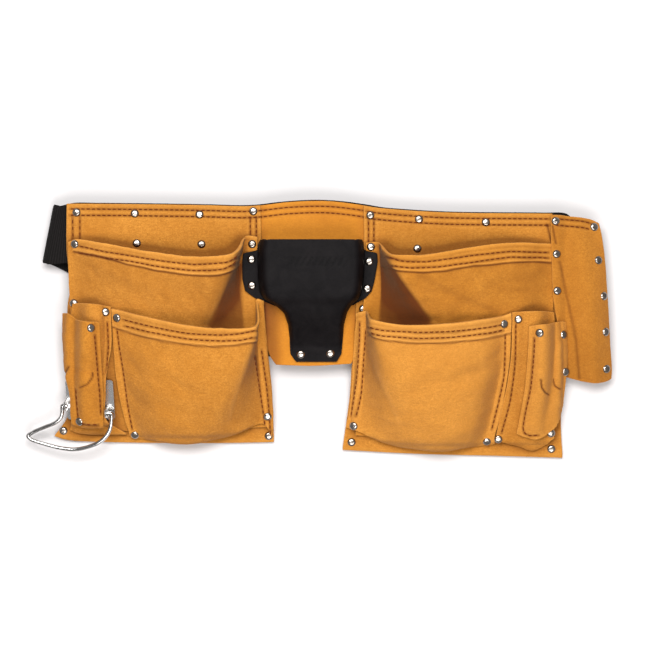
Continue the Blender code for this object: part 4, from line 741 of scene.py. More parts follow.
def smooth_line(points, step=1.5):
    p = np.asarray(points, float)
    if len(p) < 3:
        n = max(2, int(np.linalg.norm(p[1] - p[0]) / step))
        return along(p, np.linspace(0, 1, n + 1))
    length = np.linalg.norm(np.diff(p, axis=0), axis=1).sum()
    return along(p, np.linspace(0, 1, max(3, int(length / step))))


PIECES = {}
FULL = {}


def leather_piece(name, under, mat, nodes, thick=LEATHER, rows=(), rim_hem=None, folds=(), wrinkle=0.0, seed=1, fold_edges=0.5, body="belt", tone_extra=None, nap=True, deep=1.0):
    """A leather sheet with soft edges from its underside grid. rows are stitched lines, which pull the leather in;
    rim_hem is the turned-over mouth (see hem); deep scales the painted shade in hollows and on steep flanks.
    """
    under = np.array(under, float)
    n = grid_normals(under)
    x, y = under[..., 0], under[..., 1]
    t = np.full(x.shape, float(thick))
    dark, light = np.zeros_like(t), np.zeros_like(t)
    if rim_hem:
        d, inside, height = rim_hem(x, y, seed)
        step = (1 - ease((d + 0.7) / 1.5)) * inside
        t += height * step
        light += 0.14 * step
        light += 0.45 * np.exp(-((d + 0.9) / 1.0) ** 2) * inside
        # painted shadow just below the hem's edge
        dark += 0.85 * np.exp(-((d - 1.1) / 1.0) ** 2) * inside
    lump = 0.22 * lattice_noise(x, y, 5.0, seed + 11) + 0.30 * lattice_noise(x, y, 13.0, seed + 12)
    lump = lump if nap else lump * 0.35
    t += lump * 0.55
    light += np.clip(lump, 0, 1) * 0.25
    down = np.concatenate([np.zeros((1, x.shape[1])), np.cumsum(np.linalg.norm(np.diff(under, axis=0), axis=-1), axis=0)])
    if rim_hem:
        light += 0.40 * np.exp(-((down / 2.4) ** 2))
        dark += 0.18 * np.exp(-(((down - 4.0) / 1.3) ** 2))
    for line in rows:
        d = near(x, y, line)
        t -= 0.55 * np.exp(-((d / 1.1) ** 2)) + 0.25 * np.exp(-((d / 2.4) ** 2))
        dark += 0.55 * np.exp(-((d / 1.15) ** 2))
        light += 0.12 * np.exp(-(((d - 2.6) / 1.0) ** 2))
    for line, depth, width, shade in folds:
        d = near(x, y, line)
        t -= depth * np.exp(-((d / width) ** 2))
        dark += shade * np.exp(-((d / (width * 0.8)) ** 2))
    if thick < 0:
        under = under + n * thick
        t -= 2 * thick
    top = under + n * np.maximum(t, 0.8)[..., None]
    if nap:
        # painted shade: darker where the layers round stand over the sheet, and on steep flanks
        for width, height in SHADE_HOLLOWS:
            dark += 0.30 * deep * np.clip((height.at(x, y) - top[..., 2]) / (0.9 * width), 0, 1)
        dark += 0.30 * deep * ease((0.80 - np.abs(n[..., 2])) / 0.55)
    nv, nu = x.shape
    ring = [(0, i) for i in range(nu)] + [(j, nu - 1) for j in range(1, nv)] + [(nv - 1, i) for i in range(nu - 2, -1, -1)] + [(j, 0) for j in range(nv - 2, 0, -1)]
    idx = np.arange(nv * nu).reshape(nv, nu)
    # the rim's middle ring stands out a little, so that the cut edge is round
    rj, ri = np.array([r[0] for r in ring]), np.array([r[1] for r in ring])
    inner_j, inner_i = np.clip(rj, 1, nv - 2), np.clip(ri, 1, nu - 2)
    outward = under[rj, ri] - under[inner_j, inner_i]
    outward /= np.maximum(np.linalg.norm(outward, axis=-1, keepdims=True), 1e-6)
    mids = [under[rj, ri] * (1 - f) + top[rj, ri] * f + outward * bulge for f, bulge in ((0.18, 0.32), (0.5, 0.5), (0.82, 0.32))]
    verts = np.concatenate([under.reshape(-1, 3), top.reshape(-1, 3)] + mids)
    N, R = nv * nu, len(ring)
    q = []
    a, b, c, d = idx[:-1, :-1].ravel(), idx[:-1, 1:].ravel(), idx[1:, 1:].ravel(), idx[1:, :-1].ravel()
    up_faces = np.stack([a + N, d + N, c + N, b + N], 1)
    low_faces = np.stack([a, b, c, d], 1)
    r0 = idx[rj, ri]
    k = np.arange(R)
    k2 = (k + 1) % R
    levels = [r0, 2 * N + k, 2 * N + R + k, 2 * N + 2 * R + k, r0 + N]
    side = [np.stack([lo[k], hi[k], hi[k2], lo[k2]], 1) for lo, hi in zip(levels[:-1], levels[1:])]
    faces = np.concatenate([up_faces, low_faces] + side)
    me = bpy.data.meshes.new(name)
    me.from_pydata(to_m(verts).tolist(), [], faces.tolist())
    o = bpy.data.objects.new(name, me)
    bpy.context.scene.collection.objects.link(o)
    me.materials.append(mat)
    me.shade_smooth()
    col = me.color_attributes.new("tone", "FLOAT_COLOR", "POINT")
    if tone_extra is not None:
        e_dark, e_light = tone_extra(x, y, under)
        dark, light = dark + e_dark, light + e_light
    values = np.zeros((len(verts), 4), np.float32)
    values[N : 2 * N, 0] = np.clip(dark, 0, 1).ravel()
    values[N : 2 * N, 1] = np.clip(light, 0, 1).ravel()
    values[:N, 0] = 0.25
    values[2 * N :, 1] = 0.55
    edge = np.zeros((nv, nu))
    edge[0], edge[-1], edge[:, 0], edge[:, -1] = 1, 1, 1, 1
    edge = blurred(edge, 2)
    values[N : 2 * N, 1] = np.clip(values[N : 2 * N, 1] + 0.35 * edge.ravel(), 0, 1)
    values[:, 3] = 1
    col.data.foreach_set("color", values.ravel())
    me.validate()
    bm = bmesh.new()
    bm.from_mesh(me)
    bmesh.ops.recalc_face_normals(bm, faces=bm.faces)
    bm.to_mesh(me)
    bm.free()
    tree = BVHTree.FromPolygons(to_m(top.reshape(-1, 3)).tolist(), (np.stack([a, d, c, b], 1)).tolist())
    PIECES[name] = tree
    FULL[name] = BVHTree.FromPolygons(to_m(verts).tolist(), faces.tolist())
    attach(o, body)
    if nodes:
        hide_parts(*nodes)
    return o


def on_surface(trees, x, y):
    p = to_m(np.array([x, y, 0.0]))
    best = (None, None)
    for tree in trees:
        at, nor, _, _ = tree.ray_cast(Vector((p[0], p[1], 0.2)), Vector((0, 0, -1)), 0.4)
        if at is not None and (best[0] is None or at.z > best[0].z):
            best = (at, nor if nor.z > 0 else -nor)
    return best


def stitch_mesh(name, jobs, body="belt", pitch=5.2, long=3.9, radius=0.58, slot="suede"):
    """Thread along lines on surfaces: jobs are (trees, line). Each stitch is a short arched strand whose ends go into the leather."""
    verts, faces = [], []
    sides, steps = 6, 7
    rng = np.random.RandomState(len(name) * 7 + 3)
    for trees, line in jobs:
        p = smooth_line(line, 0.5)
        s = np.concatenate([[0], np.cumsum(np.linalg.norm(np.diff(p, axis=0), axis=1))])
        count = max(1, int(s[-1] / pitch))
        gap = s[-1] / count
        for k in range(count):
            mid = (k + 0.5) * gap
            ends = []
            for q in (mid - long / 2, mid + long / 2):
                ends.append(np.array([np.interp(q, s, p[:, 0]), np.interp(q, s, p[:, 1])]))
            a, na = on_surface(trees, *ends[0])
            b, nb = on_surface(trees, *ends[1])
            c, nc = on_surface(trees, *((ends[0] + ends[1]) / 2))
            if a is None or b is None or c is None:
                continue
            if (a - b).length > 0.009 or abs(((a + b) / 2 - c).length) > 0.003:
                continue
            n = (na + nb + nc).normalized()
            d = (b - a).normalized()
            w = d.cross(n).normalized()
            jit = rng.uniform(-0.12, 0.12) * 0.001
            base = len(verts)
            for i in range(steps):
                f = i / (steps - 1)
                centre = a.lerp(b, f) + (c - a.lerp(b, 0.5)) * (4 * f * (1 - f)) + n * (0.001 * (-0.45 + 0.85 * (4 * f * (1 - f)) ** 0.6)) + w * (jit * (2 * f - 1))
                r = radius * 0.001 * (0.62 + 0.38 * (4 * f * (1 - f)) ** 0.5)
                for k2 in range(sides):
                    t = 2 * math.pi * k2 / sides
                    verts.append(centre + (w * math.cos(t) + n * math.sin(t)) * r)
            for i in range(steps - 1):
                for k2 in range(sides):
                    faces.append((base + i * sides + k2, base + i * sides + (k2 + 1) % sides, base + (i + 1) * sides + (k2 + 1) % sides, base + (i + 1) * sides + k2))
            faces.append(tuple(base + k2 for k2 in range(sides - 1, -1, -1)))
            faces.append(tuple(base + (steps - 1) * sides + k2 for k2 in range(sides)))
    me = bpy.data.meshes.new(name)
    me.from_pydata([tuple(v) for v in verts], [], faces)
    me.materials.append(THREAD)
    me.shade_smooth()
    o = bpy.data.objects.new(name, me)
    bpy.context.scene.collection.objects.link(o)
    bm = bmesh.new()
    bm.from_mesh(me)
    bmesh.ops.recalc_face_normals(bm, faces=bm.faces)
    bm.to_mesh(me)
    bm.free()
    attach(o, body)
    return o


def cells(net, size=1.25):
    """How many cells to a span give cells of about size mm."""
    net = np.asarray(net, float)
    rows = np.linalg.norm(np.diff(net, axis=0), axis=-1).mean()
    cols = np.linalg.norm(np.diff(net, axis=1), axis=-1).mean()
    return max(2, int(cols / size)), max(2, int(rows / size))


def ruffle(s, amount, seed, turn=0.4, flat=4.0):
    """Soft creases where the leather stands free."""
    out = np.array(s, float)
    x, y, h = out[..., 0], out[..., 1], out[..., 2]
    free = ease(h / flat / 2)
    w = lattice_noise(x, y, 15, seed, (2.6, 0.8), turn) * 1.0 + lattice_noise(x, y, 7, seed + 1, (2.0, 0.8), turn + 0.5) * 0.45
    out[..., 2] = np.maximum(h + amount * w * free, 0)
    return out


def fine_net(net, amount, seed, turn=0.4, size=1.25, scale=None):
    nu, nv = cells(net, size)
    s = ruffle(net_surface(net, nu, nv), amount, seed, turn)
    if scale is not None:
        s = s * scale
    return s


# ----------------------------------------------------------------- the layers again, fine, with their creases
def softened(relief, times=7):
    out = relief.copy()
    out.z = blurred(out.z, times)
    return out


def over(net, relief, amount, seed, turn=0.4, size=1.25, scale=None, gap=GAP):
    """The fine surface of a net, lying on a relief."""
    return laid_on(softened(relief), fine_net(net, amount, seed, turn, size, scale), gap)


def fine_panel(left, right, top, bottom, across, tall, dense=48.0, fine=1.35, coarse=3.5):
    """A flat panel whose grid is fine near its top edge, where its seams show."""
    v = [0.0]
    while v[-1] < 1:
        v.append(v[-1] + (fine if v[-1] * tall < dense else coarse) / tall)
    v = np.array(v) / v[-1]
    l, r = along(left, v), along(right, v)
    u = np.linspace(0, 1, across + 1)
    x = l[:, None, 0] * (1 - u) + r[:, None, 0] * u
    y = l[:, None, 1] * (1 - u) + r[:, None, 1] * u
    w = v[:, None]
    y = y + (top(x[0]) - y[0])[None, :] * (1 - w) ** 3 + (bottom(x[-1]) - y[-1])[None, :] * w**3
    return np.stack([x, y, np.zeros_like(x)], -1)


def hem(points, height=1.25, fade=3.0):
    """A turned-over mouth: raised down to a line."""
    p = np.asarray(points, float)
    line, x0, x1 = line_of(p), p[:, 0].min(), p[:, 0].max()

    def field(x, y, seed):
        w = 0.5 * lattice_noise(x, x * 0 + 5.0, 13, seed + 40)
        inside = ease((x - x0 + fade) / fade) * ease((x1 + fade - x) / fade)
        return (y - line(x) - w), inside, height

    return field


def top_row(offset, x0, x1, step=6.0):
    xs = np.arange(x0, x1 + 0.1, step)
    return [(float(x), float(TOP_LINE(x)) + offset) for x in xs]


ROW_A, ROW_B = 4.9, 11.3
left_panel = fine_panel([(66, 203.5), (66, 250), (70, 285), (67, 305), (66, 340), (67, 380), (66, 415), (51.5, 437)],
                        [(260, 206), (261, 250), (263, 300), (267, 350), (271, 390), (273, 443)],
                        TOP_LINE, line_of([(51.5, 437), (75, 442), (160, 444), (220, 444), (273, 443)]), 150, 240)
right_panel = fine_panel([(364, 206), (364, 250), (356.5, 300), (356.5, 340), (352.5, 365), (350, 400), (343, 451)],
                         [(553, 214), (553, 250), (556, 300), (562, 340), (565, 380), (563, 420), (565, 459)],
                         TOP_LINE, line_of([(343, 451), (420, 455), (500, 457), (565, 459)]), 150, 248)
centre_panel = fine_panel([(250, 206), (250, 250), (256, 285), (264.0, 310), (268.4, 350), (276, 364.5)],
                          [(375, 207.5), (375, 250), (366, 285), (356.2, 315), (355.0, 351), (351, 363.5)],
                          TOP_LINE, line_of([(276, 364.5), (312, 365.5), (351, 363.5)]), 95, 160, 200, 1.5)
left_panel, right_panel = on_back(left_panel), on_back(right_panel)
centre_panel[..., 2] = centre_z(centre_panel[..., 0], centre_panel[..., 1])

v_ground = Relief().add(left_panel, LEATHER + 0.2).add(right_panel, LEATHER + 0.2)
UP = 1.25
v_left_upper = over(LEFT_UPPER, v_ground, 0.9, 21, 0.5)
v_right_upper = over(RIGHT_UPPER, v_ground, 1.1, 22, -0.5)
v_second = v_ground.copy().add(v_left_upper, LEATHER + 0.25).add(v_right_upper, LEATHER + 0.25)
v_left_lower = over(LEFT_LOWER, v_second, 0.9, 23, 0.5, gap=1.0)
v_right_lower = over(RIGHT_LOWER, v_second, 0.9, 24, -0.5, gap=1.0)
v_third = v_second.copy().add(plate_grid, PLATE_T + 1.2)
v_left_side = over(SIDE_L, v_third, 0.4, 25, 0.3, 1.05, SLACK)
v_right_side = over(SIDE_R, v_third, 0.4, 26, -0.3, 1.05, SLACK)
v_fourth = v_third.copy().add(v_left_side, LEATHER + 0.2).add(v_right_side, LEATHER + 0.2)
v_left_sleeve = over(SLEEVE_L, v_fourth, 0.35, 27, 0.3, 0.95, SLACK)
v_right_sleeve = over(SLEEVE_R, v_fourth, 0.35, 28, -0.3, 0.95, SLACK)
v_wing = net_surface(WING_FRONT, 8, 28)
v_wing[..., 2] += back_z(v_wing[..., 0], v_wing[..., 1]) + LEATHER * 2 + GAP * 3 - 4.4 * ease((v_wing[..., 0] - 556) / 12)
v_wing[..., 2] += 0.5 * lattice_noise(v_wing[..., 0], v_wing[..., 1], 16, 61, (0.8, 2.2), 0.12) * ease((v_wing[..., 1] - 225) / 30)
v_wing_back = on_back(panel_surface([(560, 286), (562, 310), (565, 350), (567, 376)], [(606, 288), (607.5, 310), (610, 340), (612, 379)],
                                    line_of([(560, 286), (606, 288)]), line_of([(567, 376), (590, 381), (612, 379)]), 30, 50), 0.6)

# how far the layers round a place stand over it, for painted shade in the hollows
v_fifth = v_fourth.copy().add(v_left_sleeve, LEATHER).add(v_right_sleeve, LEATHER)
SHADE_HOLLOWS = []
soft = v_fifth.copy()
for passes, width in ((22, 4.5), (110, 11.0)):
    soft.z = blurred(soft.z, passes)
    SHADE_HOLLOWS.append((width, soft.copy()))

L_UP_A = [(79, 246), (105, 251.8), (135, 257), (165, 261.8), (196, 265), (227, 263), (238, 256)]
L_UP_B = [(79, 252.6), (105, 257.4), (135, 262.5), (165, 267.8), (196, 271), (224, 269.5), (237, 261.5)]
L_LOW_A = [(124.6, 319.5), (156, 327), (189, 333), (222, 335), (242, 333.6), (256, 330.0)]
L_LOW_B = [(126, 325.7), (156, 333.0), (189, 338.6), (222, 340.8), (242, 340), (254, 337)]
L_LOW_C = [(117.5, 330), (120, 350), (123.5, 373), (126.5, 404), (130.6, 430)]
L_FL_A = [(254, 356), (259, 389.5), (264, 423), (264.7, 437)]
L_FL_B = [(261.4, 350), (266.4, 389.5), (269, 419), (269.8, 436)]
L_SIDE_A = [(107.6, 322), (108.6, 345), (106.0, 373)]
R_UP_A = [(389, 257.5), (400, 261.6), (424, 262.6), (452, 259), (480, 255), (508, 252), (548, 252.5)]
R_UP_B = [(393, 266), (410, 268.6), (438, 267.4), (466, 263.6), (508, 257.6), (548, 258)]
R_LOW_A = [(369, 327), (382, 330.6), (416, 332), (450.5, 331), (485, 327.5), (502, 324.4)]
R_LOW_B = [(370, 332.5), (382, 336), (416, 338), (450, 337), (485, 333.4), (502, 330)]
R_LOW_C = [(504.8, 335), (504.4, 376), (499.6, 402), (493.0, 430)]
R_FL_A = [(360, 322), (359.4, 343), (356.8, 381), (351.5, 417)]
R_FL_B = [(366.0, 330), (364.4, 350), (361.6, 393), (356.5, 417)]
R_SIDE_A = [(515.5, 324), (515, 367.5), (511, 402), (503, 434)]
L_SLEEVE_A = [(95.3, 335), (96.5, 353), (97.7, 374), (99.3, 392), (99.8, 414)]
L_SLEEVE_B = [(76, 389), (76.5, 404), (77.5, 418)]
L_SLEEVE_C = [(79, 423.6), (88, 424.6), (97, 424.8)]
R_SLEEVE_A = [(534.0, 338), (533.4, 357), (531, 389), (526.6, 412), (524.4, 428), (525.8, 433.6), (531, 436.0), (539, 435.6)]
CUTS_L = [([(92.5, 373), (92, 378), (88, 384), (81.6, 387)], 1.5, 0.85, 1.0), ([(69, 366.5), (66.5, 372), (64.8, 377)], 1.5, 0.85, 1.0)]
CUTS_R = [([(540.3, 379), (541.2, 387), (544.4, 392.5), (549, 395)], 1.5, 0.85, 1.0), ([(553.6, 379), (555.4, 385.5), (559.5, 389)], 1.5, 0.85, 1.0)]



def shaded_side(line, reach, strength, side):
    """Painted shade from a pleat's crest to a column of the sheet, on the side +1 (right) or -1 (left), with a painted
    highlight along the crest.
    """
    p = np.asarray(line, float)

    def tone(x, y, under):
        crest = np.interp(y, p[:, 1], p[:, 0])
        d = (x - crest) * side
        far = np.interp(y, p[:, 1], reach)
        s = ease((d + 3.0) / 6.5) * ease(((far - x) * side + 1.0) / 5.0) * ease((y - p[0, 1]) / 9.0 + 0.3) * ease((p[-1, 1] - y) / 12.0 + 0.4)
        painted_crest_highlight = 0.22 * np.exp(-(((d + 3.5) / 2.6) ** 2)) * ease((y - p[0, 1]) / 9.0) * ease((p[-1, 1] - y) / 9.0)
        return strength * s, painted_crest_highlight

    return tone


def lighter(tone, amount):
    """The same tone, lighter all over."""

    def both(x, y, under):
        d, l = tone(x, y, under) if tone is not None else (np.zeros_like(x), np.zeros_like(x))
        return d, l + amount * (1 - np.clip(d, 0, 1))

    return both


def wing_tone(x, y, under):
    """Darkens the wing all over, more so towards its foot."""
    return 0.13 + 0.10 * ease((y - 300) / 80), np.zeros_like(x)


def painted_shade_by_stem(x, y, under):
    """Painted shade on the centre panel between the bags and the tape holder's stem."""
    left = ease((286 - x) / 14.0) * ease((y - 292) / 14.0)
    right = ease((x - 346) / 10.0) * ease((y - 300) / 20.0)
    return 0.62 * left + 0.2 * right, np.zeros_like(x)


P = {}
P["left_back_panel"] = leather_piece("leather_left_back", left_panel, SUEDE, ["left_back_panel"], rows=[top_row(ROW_A, 69, 262), top_row(ROW_B, 69, 262), [(71.5, 217), (72, 280)], [(79, 217), (79, 240)], [(250, 217), (250.5, 255)], [(256, 217), (256.6, 300)]], seed=101)
P["right_back_panel"] = leather_piece("leather_right_back", right_panel, SUEDE, ["right_back_panel"], rows=[top_row(ROW_A, 366, 556), top_row(ROW_B, 366, 556), [(368.6, 219), (368.6, 262)], [(374, 219), (374, 250)]], folds=[([(548, 224), (550.5, 235), (553.5, 245)], 0.8, 1.3, 0.8)], seed=102)
P["centre_panel"] = leather_piece("leather_centre", centre_panel, SMOOTH, ["centre_panel"], rows=[top_row(ROW_A, 262, 366), top_row(ROW_B, 262, 366)], seed=103, tone_extra=painted_shade_by_stem)
P["left_upper_pocket"] = leather_piece("leather_left_upper", v_left_upper, SUEDE, ["left_upper_pocket"], rows=[L_UP_A, L_UP_B], rim_hem=hem([(74, 250.5), (105, 257.5), (134.7, 265), (165, 270.5), (196, 274.7), (223, 273), (239, 264)]), folds=[([(239, 262), (224, 293), (208, 325)], 0.7, 2.5, 0.2)], seed=104, tone_extra=shaded_side([(240, 262), (226, 290), (209, 325), (206, 340)], [244, 243, 245, 247], 0.58, 1))
P["right_upper_pocket"] = leather_piece("leather_right_upper", v_right_upper, SUEDE_SHADED, ["right_upper_pocket"], rows=[R_UP_A, R_UP_B], rim_hem=hem([(385, 266), (399, 270), (418.6, 272), (438, 270.6), (480, 265), (522, 261), (550, 262)]), folds=[([(384, 256), (405, 287), (430, 319)], 0.9, 2.6, 0.25), ([(419, 276), (450, 292), (494, 311)], 0.5, 4.0, 0.12)], seed=105, tone_extra=shaded_side([(383, 254), (398, 276), (413, 297), (430, 320), (436, 332)], [379, 380, 380, 378, 376], 0.66, -1))
P["left_lower_pocket"] = leather_piece("leather_left_lower", v_left_lower, SUEDE, ["left_lower_pocket"], rows=[L_LOW_A, L_LOW_B, L_LOW_C, L_FL_A, L_FL_B], rim_hem=hem([(112, 325.7), (131, 331.5), (156, 338), (189, 343), (222, 345), (254, 341)]), folds=[([(256, 343), (234, 403), (231, 419)], 0.6, 2.4, 0.15)], seed=106, tone_extra=shaded_side([(255.5, 343), (244, 375), (235, 403), (231, 424)], [257, 259, 262, 262], 0.26, 1))
# the right lower pocket is made lighter all over: painted light on its front
P["right_lower_pocket"] = leather_piece("leather_right_lower", v_right_lower, SUEDE, ["right_lower_pocket"], rows=[R_LOW_A, R_LOW_B, R_LOW_C, R_FL_A, R_FL_B], rim_hem=hem([(372, 334), (382, 338.5), (416, 341.5), (450.5, 341), (485, 337.5), (511, 332)]), folds=[([(368, 352), (378, 380), (396, 416)], 0.5, 3.0, 0.12)], seed=107, tone_extra=lighter(shaded_side([(370, 340), (376, 370), (392, 412), (400, 430)], [366, 364, 360, 358], 0.05, -1), 0.22))
P["left_side_pocket"] = leather_piece("leather_left_side", deep=0.35, under=v_left_side, mat=SUEDE, nodes=["left_side_pocket"], rows=[L_SIDE_A], seed=108)
P["right_side_pocket"] = leather_piece("leather_right_side", deep=0.35, under=v_right_side, mat=SUEDE, nodes=["right_side_pocket"], rows=[R_SIDE_A], seed=109)
P["left_pencil_sleeve"] = leather_piece("leather_left_sleeve", deep=0.35, under=v_left_sleeve, mat=SUEDE_SHADED, nodes=["left_pencil_sleeve"], rows=[L_SLEEVE_A, L_SLEEVE_B, L_SLEEVE_C], folds=CUTS_L, seed=110)
P["right_pencil_sleeve"] = leather_piece("leather_right_sleeve", deep=0.35, under=v_right_sleeve, mat=SUEDE, nodes=["right_pencil_sleeve"], rows=[R_SLEEVE_A], folds=CUTS_R, seed=111, tone_extra=lighter(None, 0.24))
P["wing_front"] = leather_piece("leather_wing_front", v_wing, SUEDE_SHADED, ["wing_front"], rows=[top_row(ROW_A, 558, 594), top_row(ROW_B, 558, 590)], folds=[([(560, 262), (570, 306), (577, 340), (581, 378)], 1.1, 1.8, 0.45), ([(553, 226), (556, 243)], 0.7, 1.2, 0.7)], seed=112, tone_extra=wing_tone)
P["wing_back"] = leather_piece("leather_wing_back", v_wing_back, SUEDE_SHADED, ["wing_back"], thick=-LEATHER, seed=113)

# ----------------------------------------------------------------- tape holder
def finer(grid, k):
    g = np.asarray(grid, float)
    tv, tu = np.linspace(0, g.shape[0] - 1, (g.shape[0] - 1) * k + 1), np.linspace(0, g.shape[1] - 1, (g.shape[1] - 1) * k + 1)
    iv, iu = np.minimum(tv.astype(int), g.shape[0] - 2), np.minimum(tu.astype(int), g.shape[1] - 2)
    fv, fu = (tv - iv)[:, None, None], (tu - iu)[None, :, None]
    return g[iv][:, iu] * (1 - fv) * (1 - fu) + g[iv + 1][:, iu] * fv * (1 - fu) + g[iv][:, iu + 1] * (1 - fv) * fu + g[iv + 1][:, iu + 1] * fv * fu


def even_rows(grid, size):
    """The same sheet with its rows spaced evenly down the sheet."""
    g = np.asarray(grid, float)
    mid = g[:, g.shape[1] // 2, 1]
    ys = np.linspace(mid[0], mid[-1], int((mid[-1] - mid[0]) / size) + 1)
    t = np.interp(ys, mid, np.arange(len(mid)))
    i = np.minimum(t.astype(int), len(mid) - 2)
    f = (t - i)[:, None, None]
    return g[i] * (1 - f) + g[i + 1] * f


def even_cols(grid, size):
    g = np.asarray(grid, float)
    step = np.linalg.norm(np.diff(g, axis=1), axis=-1).mean(0)
    s = np.concatenate([[0], np.cumsum(step)])
    q = np.linspace(0, s[-1], int(s[-1] / size) + 1)
    t = np.interp(q, s, np.arange(len(s)))
    i = np.minimum(t.astype(int), len(s) - 2)
    f = (t - i)[None, :, None]
    return g[:, i] * (1 - f) + g[:, i + 1] * f


v_holder = even_cols(even_rows(finer(holder, 2), 1.0), 1.05)
for _ in range(9):
    keep = v_holder.copy()
    v_holder = blurred(v_holder, 1)
    v_holder[0], v_holder[-1], v_holder[:, 0], v_holder[:, -1] = keep[0], keep[-1], keep[:, 0], keep[:, -1]


def hatch(x, y, under):
    inside = ease((x - 287) / 1.2) * ease((345 - x) / 1.2) * ease((y - 256.5) / 1.2) * ease((267.5 - y) / 1.2)
    bars = 0.5 + 0.5 * np.sin((x + 0.55 * y) * 2 * math.pi / 6.2)
    return inside * ease((bars - 0.45) / 0.3) * 0.5, np.zeros_like(x)


def pressed(s):
    out = s.copy()
    d, _ = hatch(out[..., 0], out[..., 1], out)
    out[..., 2] -= d * 0.9
    return out


P["tape_holder"] = leather_piece("leather_tape_holder", pressed(v_holder), BLACK, ["tape_holder"], rows=[], seed=114, tone_extra=hatch, nap=False)


# ----------------------------------------------------------------- thread
def stitches(name, pieces, lines, **kw):
    return stitch_mesh(name, [(tuple(PIECES[p] for p in pieces), line) for line in lines], **kw)


tops = ["leather_left_back", "leather_centre", "leather_right_back", "leather_wing_front"]
stitches("thread_waist", tops, [top_row(ROW_A, 69, 596), top_row(ROW_B, 69, 592), [(71.5, 218), (72, 238)], [(79, 218), (79, 237)], [(250, 218), (250.3, 240)], [(256, 218), (256.6, 298)], [(368.6, 220), (368.6, 250)], [(374, 220), (374, 244)]])
stitches("thread_left_upper", ["leather_left_upper"], [L_UP_A, L_UP_B])
stitches("thread_right_upper", ["leather_right_upper"], [R_UP_A, R_UP_B])
stitches("thread_left_lower", ["leather_left_lower"], [L_LOW_A, L_LOW_B, L_LOW_C, L_FL_A, L_FL_B])
stitches("thread_right_lower", ["leather_right_lower"], [R_LOW_A, R_LOW_B, R_LOW_C, R_FL_A, R_FL_B])
stitches("thread_left_side", ["leather_left_side"], [L_SIDE_A])
stitches("thread_right_side", ["leather_right_side"], [R_SIDE_A])
stitches("thread_left_sleeve", ["leather_left_sleeve"], [L_SLEEVE_A, L_SLEEVE_B, L_SLEEVE_C])
stitches("thread_right_sleeve", ["leather_right_sleeve"], [R_SLEEVE_A])


# ----------------------------------------------------------------- webbing
def rib_strap(name, stations, width, thick, node, body, step=0.8):
    """Ribbed strap: cross ribs in its thickness, a slightly rolled selvedge at each side."""
    c = np.array([s[0] for s in stations], float)
    w = np.array([np.asarray(s[1], float) / np.linalg.norm(s[1]) for s in stations])
    length = np.concatenate([[0], np.cumsum(np.linalg.norm(np.diff(c, axis=0), axis=1))])
    n = max(8, int(length[-1] / step))
    fine_t = np.linspace(0, len(c) - 1, 24 * len(c))
    fine_c = catmull(c, fine_t)
    s = np.concatenate([[0], np.cumsum(np.linalg.norm(np.diff(fine_c, axis=0), axis=1))])
    t = np.interp(np.linspace(0, s[-1], n), s, fine_t)
    pos = catmull(c, t)
    wid = catmull(w, t)
    wid /= np.linalg.norm(wid, axis=1)[:, None]
    run = np.gradient(pos, axis=0)
    run /= np.linalg.norm(run, axis=1)[:, None]
    nor = np.cross(run, wid)
    nor /= np.maximum(np.linalg.norm(nor, axis=1)[:, None], 1e-9)
    at = np.linspace(0, s[-1], n)
    q = np.concatenate([[-0.5, -0.493], np.linspace(-0.47, 0.47, 15), [0.493, 0.5]])
    ribs = np.abs(np.sin(at * math.pi / 2.2))[:, None] * 0.26
    edge = np.where(np.abs(q) > 0.48, 0.55, 1.0)[None, :]
    wave = 0.12 * lattice_noise(at[:, None] * 1.0 + q[None] * 0, q[None] * 60 + at[:, None] * 0, 11, 71)
    half = thick / 2 - 0.16
    rows = []
    for sign in (1, -1):
        h = (half * edge + ribs * edge + wave * 0.5) * sign
        rows.append(pos[:, None] + wid[:, None] * (q * width)[None, :, None] + nor[:, None] * h[..., None])
    top, low = rows
    nv, nu = top.shape[:2]
    idx = np.arange(nv * nu).reshape(nv, nu)
    a, b, cc, d = idx[:-1, :-1].ravel(), idx[:-1, 1:].ravel(), idx[1:, 1:].ravel(), idx[1:, :-1].ravel()
    N = nv * nu
    ring = np.array([idx[0, i] for i in range(nu)] + [idx[j, nu - 1] for j in range(1, nv)] + [idx[nv - 1, i] for i in range(nu - 2, -1, -1)] + [idx[j, 0] for j in range(nv - 2, 0, -1)])
    nxt = np.roll(ring, -1)
    faces = np.concatenate([np.stack([a, d, cc, b], 1), np.stack([a + N, b + N, cc + N, d + N], 1), np.stack([ring, nxt, nxt + N, ring + N], 1)])
    me = bpy.data.meshes.new(name)
    me.from_pydata(to_m(np.concatenate([top.reshape(-1, 3), low.reshape(-1, 3)])).tolist(), [], faces.tolist())
    uv = me.uv_layers.new(name="UVMap")
    loops = np.zeros(len(me.loops), int)
    me.loops.foreach_get("vertex_index", loops)
    us = np.tile(np.tile(q * width, nv), 2)
    vs = np.tile(np.repeat(at, nu), 2)
    uv.data.foreach_set("uv", np.stack([us[loops], vs[loops]], 1).ravel().astype(np.float32))
    me.materials.append(WEB)
    me.shade_smooth()
    o = bpy.data.objects.new(name, me)
    bpy.context.scene.collection.objects.link(o)
    bm = bmesh.new()
    bm.from_mesh(me)
    bmesh.ops.recalc_face_normals(bm, faces=bm.faces)
    bm.to_mesh(me)
    bm.free()
    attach(o, body)
    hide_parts(node)
    return o


